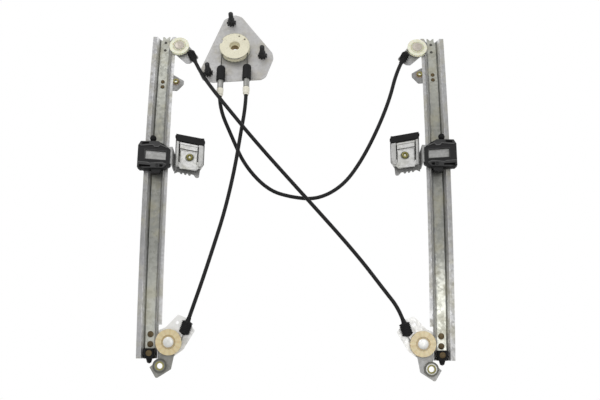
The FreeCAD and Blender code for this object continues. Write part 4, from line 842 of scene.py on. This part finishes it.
class REGULATOR_OT_clamps(bpy.types.Operator):
    """Press the carriers' sheet, the clamps' jaws, their rubber caps and screws"""
    bl_idname = "regulator.clamps"
    bl_label = "Glass Clamps"

    def execute(self, context):
        metal = context.scene.regulator_metal
        plastic = context.scene.regulator_plastic
        rubber = moulded(
            "cap_rubber", plastic.black_colour, (0.025, 0.025, 0.025), dust_amount=0.2, speckle=0,
            roughness=0.6, gloss=0.25)
        grey = sheet_metal(
            "carrier_sheet", (0.36, 0.36, 0.355), (0.26, 0.26, 0.24), spangle=0.35, scale=380.0,
            metallic=0.8)
        zinc = sheet_metal(
            "clamp_zinc", (0.66, 0.66, 0.65), (0.42, 0.42, 0.35), spangle=0.35, scale=300.0,
            metallic=0.85)
        olive = sheet_metal(
            "olive_screw", metal.olive_colour, (0.24, 0.22, 0.06), spangle=0.3, scale=600.0,
            metallic=0.9)
        bright = sheet_metal(
            "bright_heart", (0.8, 0.8, 0.74), (0.6, 0.6, 0.5), spangle=0.1, scale=600.0,
            metallic=0.8)
        seat = sheet_metal(
            "dark_seat", (0.13, 0.13, 0.07), (0.2, 0.2, 0.1), spangle=0.3, scale=600.0,
            metallic=0.8)
        # painted shadow: dark lines along the jaw's bands and beside its legs
        painted_shadow = sheet_metal(
            "painted_shadow_lines", (0.10, 0.10, 0.09), (0.2, 0.2, 0.17), spangle=0.4, scale=500.0,
            metallic=0.6)
        leg = sheet_metal(
            "jaw_legs", (0.50, 0.50, 0.49), (0.38, 0.38, 0.34), spangle=0.3, scale=300.0,
            metallic=0.8)
        for (side, hand), angle in zip(SIDES, CARRIER_ANGLES):
            place = station(RAIL_X[side], angle, 0)
            carrier, jaw, screw = [f"{side}_{body}" for body in ("carrier", "jaw", "screw")]
            finished(f"{side}_carrier_sheet", self.carrier_sheet(hand), place, carrier,
                     grey, [f"{side}_carrier_plate"])
            finished(f"{side}_jaw_plate", self.jaw_plate(hand), place, jaw, zinc,
                     [f"{side}_clamp_jaw"])
            finished(f"{side}_jaw_legs", self.jaw_legs(hand), place, jaw, leg)
            finished(f"{side}_jaw_shadow_lines", self.jaw_shadow_lines(hand), place, jaw, painted_shadow)
            finished(f"{side}_jaw_cap", self.jaw_cap(hand), place, jaw, rubber,
                     [f"{side}_jaw_pad"])
            finished(f"{side}_pan_screw", self.round(hand, [
                (0, 0.8), (2.2, 0.8), (2.6, 1.6), (2.6, 3.4), (3.2, 4), (4.2, 3.6), (4.9, 2.4),
                (5, 0.02), (3, 0), (3, -SCREW_LENGTH), (2.2, -SCREW_LENGTH - 0.8),
                (0, -SCREW_LENGTH - 0.8)], 36), place, screw, olive,
                [f"{side}_clamp_screw"], smooth=True)
            finished(f"{side}_screw_heart", self.round(hand, [
                (0, 0.82), (2.15, 0.82), (1.9, 1.7), (1.0, 2.1), (0, 2.2)], 28), place, screw,
                bright, smooth=True)
            finished(f"{side}_screw_seat", self.round(hand, [
                (5.2, 0.02), (5.2, 0.4), (6.1, 0.4), (6.3, 0.02), (5.2, 0.02)], 36), place, jaw,
                seat)
        return {"FINISHED"}

    def round(self, hand, profile, steps):
        """A piece turned round the screw, from its seat."""
        shape = bmesh.new()
        turned(shape, profile, steps=steps, at=(SCREW_AT[0] * hand, SCREW_AT[1]), start=SCREW_SEAT)
        return shape

    def carrier_sheet(self, hand):
        """The back sheet with its teeth and spike, its folded wall and the tongue to the slider."""
        teeth = []
        for step in range(3):
            left = 33 + step * 6.5
            foot = CLAMP_LOW - 1 - step * 1.3
            teeth += [(left, foot), (left + 1.5, foot - 2.6), (left + 4, foot - 2.9),
                      (left + 5.2, foot - 0.4)]
        spike = [(55, CLAMP_LOW - 5), (58, CLAMP_LOW - 9), (59.5, CLAMP_LOW - 10),
                 (62.5, CLAMP_LOW - 10), (64, CLAMP_LOW - 8.5), (65, CLAMP_LOW + 2)]
        back = [(CLAMP_WALL, CLAMP_LOW - 3), (30, CLAMP_LOW - 0.5), *teeth, *spike,
                (CLAMP_RIGHT, CLAMP_LOW + 12), below_top(CLAMP_RIGHT, 1), below_top(CLAMP_WALL, 1)]
        inside = CLAMP_WALL - CARRIER_SHEET
        wall = [(inside, -14), (CLAMP_WALL, -14), (CLAMP_WALL, 14), (inside, 14)]
        tongue = [(-17.5, -13.9), (CLAMP_WALL, -13.9), (CLAMP_WALL, 13.9), (-17.5, 13.9)]
        return plates(hand, ([back, SCREW_BORE], SHEET_BACK, CARRIER_SHEET),
                      ([wall], SHEET_BACK, 34.2), ([tongue], 6.65, 1.6))

    def jaw_plate(self, hand):
        """The front plate with its two slots, its raised bands and the dish round the screw."""
        face = [below_top(CLAMP_LEFT, 3), (CLAMP_LEFT, CLAMP_LOW + 4.5), (33, CLAMP_LOW + 4.5),
                (34, CLAMP_LOW + 2), (59.4, CLAMP_LOW - 2.5), (61.4, CLAMP_LOW - 1),
                (63.4, CLAMP_LOW + 1), (68.5, CLAMP_LOW + 1), (70.5, CLAMP_LOW + 9),
                below_top(CLAMP_RIGHT, 3)]
        slots = [[(left, CLAMP_LOW + 12), (left + 1.7, CLAMP_LOW + 12), below_top(left + 1.7, 14),
                  below_top(left, 14)] for left in (32, 61.7)]
        lip = [(34.5, CLAMP_LOW + 0.6), (60.5, CLAMP_LOW - 2), (60.5, CLAMP_LOW + 1.6),
               (34.5, CLAMP_LOW + 4)]
        shape = plates(
            hand, ([face, SCREW_BORE, *slots], JAW_BACK, 2.0, 0.3),
            ([band(33.7, 61.7, 22.5, 12)], JAW_FRONT, 2.0, 0.4),
            ([band(33.9, 61.5, 25, 23.8)], JAW_FRONT, 0.9, 0.2), ([lip], JAW_FRONT, 1.3, 0.4))
        turned(shape, [(3.1, 0), (3.1, 1.0), (6.4, 1.0), (7.2, 0.2), (7.2, 0), (3.1, 0)], steps=36,
               at=(SCREW_AT[0] * hand, SCREW_AT[1]), start=JAW_FRONT)
        return shape

    def jaw_legs(self, hand):
        """The raised legs beside the slots."""
        left = [(CLAMP_LEFT, CLAMP_LOW + 4.5), (32, CLAMP_LOW + 4.5), below_top(32, 11.5),
                below_top(CLAMP_LEFT, 11.5)]
        right = [(63.4, CLAMP_LOW + 3), (68, CLAMP_LOW + 3), (70.5, CLAMP_LOW + 12),
                 below_top(70.5, 11.5), below_top(63.4, 11.5)]
        return plates(hand, ([left], JAW_FRONT, 3.5, 0.6), ([right], JAW_FRONT, 3.5, 0.6))

    def jaw_shadow_lines(self, hand):
        """Painted shadow: dark lines along the bands and beside the legs."""
        upright = [[(left, CLAMP_LOW + rise), (left + 0.8, CLAMP_LOW + rise),
                    below_top(left + 0.8, 25.6), below_top(left, 25.6)]
                   for left, rise in ((34.2, 10), (60.6, 7))]
        low, depth = JAW_FRONT + 0.01, 0.15
        return plates(hand, ([band(34.2, 61.2, 23.5, 22.7)], low, depth),
                      ([band(34.4, 61, 16, 15.3)], low + 2, depth),
                      *[([line], low, depth) for line in upright])

    def jaw_cap(self, hand):
        """The rubber over the top: the strip in the mouth, the crown, the front and both ends."""
        ends = [([[below_top(end, 8), below_top(end + bulge, 6), below_top(end + bulge, 2.5),
                   below_top(end, 1.5)]], -14.5, 4.5, 0.3)
                for end, bulge in ((CAP_LEFT, -1.4), (CAP_RIGHT, 1.2))]
        return plates(hand, ([band(CAP_LEFT, CAP_RIGHT, 17, 0)], CAP_BACK, 1.48),
                      ([band(CAP_LEFT, CAP_RIGHT, 2.98, 0)], CAP_BACK, 7.5),
                      ([band(CAP_LEFT, CAP_RIGHT, 11, 0)], -12.78, 4, 0.7), *ends)


class REGULATOR_OT_fittings(bpy.types.Operator):
    """Add the rails' end tabs and small rivets, and the rings on their nuts and feet"""
    bl_idname = "regulator.fittings"
    bl_label = "Small Fittings"

    def execute(self, context):
        metal = context.scene.regulator_metal
        sheet = sheet_metal(
            "tab_sheet", metal.web_colour, (0.40, 0.39, 0.32), spangle=metal.spangle)
        rivet = sheet_metal(
            "small_rivet_steel", (0.10, 0.095, 0.085), (0.05, 0.05, 0.045), spangle=0.3,
            scale=500.0, metallic=0.6)
        copper = sheet_metal(
            "copper_ring", (0.36, 0.27, 0.22), (0.22, 0.16, 0.13), spangle=0.3, scale=600.0,
            metallic=0.7)
        dark = sheet_metal(
            "dark_ring", (0.10, 0.10, 0.09), (0.2, 0.19, 0.15), spangle=0.3, scale=600.0,
            metallic=0.5)
        olive = sheet_metal(
            "olive_ring", metal.olive_colour, (0.16, 0.15, 0.05), spangle=0.4, scale=600.0,
            metallic=0.8)
        tab = [(-5, -0.3), (-5, 7), (-3, 7), (1, 3.2), (4.6, 7), (6.6, 7), (6.6, -0.3)]
        for (side, hand), mount_angle, drop in zip(SIDES, MOUNT_ANGLES, FOOT_DROPS):
            across = RAIL_X[side]
            finished(f"{side}_end_tab", plates(hand, ([tab], -11.5, 1.5, 0.2)),
                     station(across, TAB_ANGLE, 0), "frame", sheet)
            shape = bmesh.new()
            for rise in (16.0, 1.2):
                turned(shape, [(0, 1.3), (1.1, 1.2), (1.9, 0.8), (2.3, 0), (0, 0)], steps=20,
                       at=(0, rise), start=-10)
            finished(f"{side}_small_rivets", shape, station(across, UPPER_ANGLE, 0), "frame",
                     rivet, smooth=True)
            shape = bmesh.new()
            turned(shape, [(4.5, 0.05), (4.5, 0.9), (5.4, 0.9), (6.2, 0.3), (6.2, 0.05),
                           (4.5, 0.05)])
            finished(f"{side}_nut_ring", shape,
                     station(across + MOUNT_IN * hand, mount_angle, MOUNT_FRONT), "frame",
                     copper)
            foot = station(across + FOOT_IN * hand, LOWER_ANGLE, 0)
            face = self.face(side)
            shape = bmesh.new()
            turned(shape, [(4.4, 0), (4.4, 0.5), (6.3, 0.5), (6.7, 0), (4.4, 0)], steps=40,
                   at=(0, -drop), start=face)
            finished(f"{side}_foot_nut", shape, foot, "frame", olive)
            count, radius, depth = (60, 10.3, 0.3) if side == "left" else (22, 10.0, 0.9)
            ring = [toothed(count, radius, depth, at=(0, -drop)),
                    circle(count=48, radius=8.9, at=(0, -drop))]
            finished(f"{side}_foot_ring", plates(1, (ring, face - 1.0, 0.6)), foot, "frame",
                     dark)
        return {"FINISHED"}

    def face(self, side):
        """How far the washer's face stands in front of the rails."""
        places = [vertex.co for vertex in nodes["lower_mount_washers"].data.vertices
                  if (vertex.co.x < 0.1) == (side == "left")]
        to_foot = station(0, LOWER_ANGLE, 0).inverted()
        return max(-(to_foot @ place).y for place in places) * 1000


class REGULATOR_OT_studs(bpy.types.Operator):
    """Turn the plate's threaded studs with their serrated collars"""
    bl_idname = "regulator.studs"
    bl_label = "Studs"

    def execute(self, context):
        black = sheet_metal(
            "black_stud", (0.016, 0.016, 0.017), (0.03, 0.03, 0.03), spangle=0.3, scale=600.0,
            metallic=0.2, bump=0.1)
        profile = [(0, -3.6), (6.8, -3.6), (6.8, -2.02), (3.9, -2.02), (3.9, 0.02), (5.9, 0.02),
                   (5.9, 2.2), (5.2, 3.2), (5.2, 10.5), (4.6, 11.6), (3.45, 11.9)]
        for thread in range(10):
            reach = 12.5 + thread * THREAD_PITCH
            profile += [(3.9, reach), (3.45, reach + 0.6)]
        profile += [(3.9, 24.9), (3.9, 25.5), (2.7, 27), (0, 27)]
        shape = bmesh.new()
        for spot in STUD_SPOTS:
            turned(shape, profile, steps=28, at=spot)
            teeth = toothed(count=9, radius=5.8, depth=2.0, at=spot, phase=0.2)
            plate(shape, [teeth], start=0.02, depth=2.6, edge=0.3)
        finished("serrated_studs", shape, station(0, DRUM_ANGLE, PLATE_FRONT), "frame",
                 black, ["plate_studs"])
        return {"FINISHED"}


class REGULATOR_OT_boots(bpy.types.Operator):
    """Mould the ribbed boots where the casings meet the pulleys"""
    bl_idname = "regulator.boots"
    bl_label = "Boots"

    def execute(self, context):
        plastic = context.scene.regulator_plastic
        rubber = moulded(
            "ribbed_rubber", plastic.black_colour, (0.03, 0.03, 0.03), dust_amount=0.2, speckle=0,
            roughness=0.6, gloss=0.25)
        ends = {"left_upper": ("cross_casing", 0, 1), "right_lower": ("cross_casing", -1, -2),
                "right_upper": ("left_port_casing", -1, -2),
                "left_lower": ("right_port_casing", -1, -2)}
        for name, end in ends.items():
            low = "lower" in name
            tip, away = casing_end(*end)
            outward = -station(0, LOWER_ANGLE if low else UPPER_ANGLE, 0).col[1].xyz
            across = away.cross(outward).normalized()
            wide, start, ribs = (8.4, -16.6, 6) if low else (6.3, -19.1, 5)
            shape = bmesh.new()
            turned(shape, self.profile(wide, start, ribs), steps=28)
            outer = [vert for vert in shape.verts
                     if math.hypot(vert.co.x, vert.co.z) > BOOT_SPOUT / 1000]
            bmesh.ops.scale(shape, verts=outer, vec=(1, 1, BOOT_DEPTH / wide))
            finished(f"{name}_ribbed_boot", shape, placed(tip, across, -away, across.cross(away)),
                     "frame", rubber, [f"{name}_boot"], smooth=True)
        return {"FINISHED"}

    def profile(self, wide, start, ribs):
        """From the cable's mouth over the ribs to the spout on the casing, and back inside."""
        profile = [(1.0, start), (3.0, start), (3.8, start + 0.9), (wide - 0.9, start + 2.3),
                   (wide, start + 4.1)]
        for rib in range(ribs):
            low = start + 4.7 + rib * RIB_PITCH
            profile += [(wide - 1.1, low), (wide - 1.1, low + 0.8), (wide, low + 1.2),
                        (wide, low + 2.1)]
        top = start + 4.7 + ribs * RIB_PITCH
        return profile + [
            (wide - 1.4, top + 0.5), (4.2, top + 1.3), (3.7, top + 2.3), (3.4, top + 6.8),
            (3.02, top + 6.8), (3.02, 0), (1.0, -0.2), (1.0, start)]


class REGULATOR_OT_casings(bpy.types.Operator):
    """Lay the three sheathed cable runs"""
    bl_idname = "regulator.casings"
    bl_label = "Casings"

    def execute(self, context):
        settings = context.scene.regulator_casing
        sheath = moulded(
            "casing_sheath", settings.colour, (0.02, 0.02, 0.02), dust_amount=0.2, speckle=0,
            roughness=0.45, bump=0.02, gloss=0.22)
        for name, route in ROUTES.items():
            curve = bpy.data.curves.new(f"{name}_line", "CURVE")
            curve.dimensions = "3D"
            curve.resolution_u = 12
            curve.bevel_depth = settings.diameter / 2
            curve.bevel_resolution = 4
            curve.use_fill_caps = True
            line = curve.splines.new("NURBS")
            line.points.add(len(route) - 1)
            for point, place in zip(line.points, route):
                point.co = (*place, 1)
            line.order_u = 3
            line.use_endpoint_u = True
            cord = bpy.data.objects.new(f"{name}_sheath", curve)
            context.scene.collection.objects.link(cord)
            curve.materials.append(sheath)
            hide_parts(name)
            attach(cord, "frame")
        return {"FINISHED"}


class REGULATOR_OT_stage(bpy.types.Operator):
    """Set the floor, the lamps, the surroundings and the camera"""
    bl_idname = "regulator.stage"
    bl_label = "Stage"

    def lamp(self, context, name, place, aim, power, width):
        light = bpy.data.lights.new(name, "AREA")
        light.energy = power
        light.size = width
        lamp = bpy.data.objects.new(name, light)
        lamp.location = place
        lamp.rotation_euler = (Vector(aim) - Vector(place)).to_track_quat("-Z", "Y").to_euler()
        context.scene.collection.objects.link(lamp)

    def world(self, strength):
        world = bpy.data.worlds.new("Surroundings")
        world.use_nodes = True
        tree = world.node_tree
        back = tree.nodes["Background"]
        feed(tree, back, {"Color": (1, 1, 1, 1), "Strength": strength})
        white = add(tree, "ShaderNodeBackground", {"Color": (1, 1, 1, 1), "Strength": 1.0})
        path = add(tree, "ShaderNodeLightPath").outputs
        seen = arithmetic(tree, "MAXIMUM", path["Is Camera Ray"], path["Is Glossy Ray"])
        seen = arithmetic(tree, "MAXIMUM", seen, path["Is Transmission Ray"])
        shown = add(tree, "ShaderNodeMixShader", {
            0: seen, 1: back.outputs[0], 2: white.outputs[0]})
        tree.links.new(shown.outputs[0], tree.nodes["World Output"].inputs["Surface"])
        return world

    def execute(self, context):
        scene = context.scene
        settings = scene.regulator_stage
        low, high = [Vector(corner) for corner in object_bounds()]
        middle = (low + high) / 2
        mesh = bpy.data.meshes.new("floor")
        shape = bmesh.new()
        bmesh.ops.create_grid(shape, x_segments=1, y_segments=1, size=6)
        bmesh.ops.translate(shape, verts=shape.verts,
                            vec=(middle.x, middle.y, low.z - settings.floor_drop))
        shape.to_mesh(mesh)
        shape.free()
        floor = bpy.data.objects.new("floor", mesh)
        scene.collection.objects.link(floor)
        pale, tree, shader = new_material("pale_floor")
        feed(tree, shader, {"Base Color": (0.9, 0.9, 0.9, 1), "Roughness": 0.9})
        mesh.materials.append(pale)
        floor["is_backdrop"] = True
        scene.world = self.world(settings.sky)
        self.lamp(context, "key", place=(-0.9, -1.6, 1.1), aim=middle, power=settings.key_power,
                  width=1.2)
        self.lamp(context, "front", place=(0.40, -1.5, -0.56), aim=(0.14, 0, -0.45),
                  power=settings.front_power, width=0.7)
        camera = bpy.data.cameras.new("camera")
        camera.lens = settings.lens
        camera.sensor_width = 36
        camera.clip_start = 0.05
        eye = bpy.data.objects.new("camera", camera)
        eye.matrix_world = (
            Matrix.Translation(settings.camera_place)
            @ Matrix.Rotation(math.pi / 2 + settings.look_up, 4, "X")
            @ Matrix.Rotation(settings.roll, 4, "Z"))
        scene.collection.objects.link(eye)
        scene.camera = eye
        scene.view_settings.view_transform = "Standard"
        return {"FINISHED"}


class REGULATOR_PT_sidebar(bpy.types.Panel):
    bl_label = "Window Regulator"
    bl_idname = "REGULATOR_PT_sidebar"
    bl_space_type = "VIEW_3D"
    bl_region_type = "UI"
    bl_category = "Regulator"

    def draw(self, context):
        for kind, _, settings in SETTINGS:
            owner = getattr(context.scene, settings)
            for key in kind.__annotations__:
                self.layout.prop(owner, key)
        for operator in OPERATORS:
            self.layout.operator(operator.bl_idname)


SETTINGS = (
    (MetalSettings, "Metal", "regulator_metal"),
    (PlasticSettings, "Plastic", "regulator_plastic"),
    (CasingSettings, "Casings", "regulator_casing"),
    (StageSettings, "Stage", "regulator_stage"),
)
OPERATORS = (
    REGULATOR_OT_rails,
    REGULATOR_OT_pulleys,
    REGULATOR_OT_drum,
    REGULATOR_OT_sliders,
    REGULATOR_OT_clamps,
    REGULATOR_OT_fittings,
    REGULATOR_OT_studs,
    REGULATOR_OT_boots,
    REGULATOR_OT_casings,
    REGULATOR_OT_stage,
)


def register():
    for kind, label, settings in SETTINGS:
        bpy.utils.register_class(kind)
        setattr(bpy.types.Scene, settings, bpy.props.PointerProperty(type=kind, name=label))
    for operator in OPERATORS:
        bpy.utils.register_class(operator)
    bpy.utils.register_class(REGULATOR_PT_sidebar)


def unregister():
    bpy.utils.unregister_class(REGULATOR_PT_sidebar)
    for operator in reversed(OPERATORS):
        bpy.utils.unregister_class(operator)
    for kind, _, settings in reversed(SETTINGS):
        delattr(bpy.types.Scene, settings)
        bpy.utils.unregister_class(kind)


def main():
    register()
    for operator in OPERATORS:
        family, name = operator.bl_idname.split(".")
        getattr(getattr(bpy.ops, family), name)()


if __name__ == "__main__":
    main()
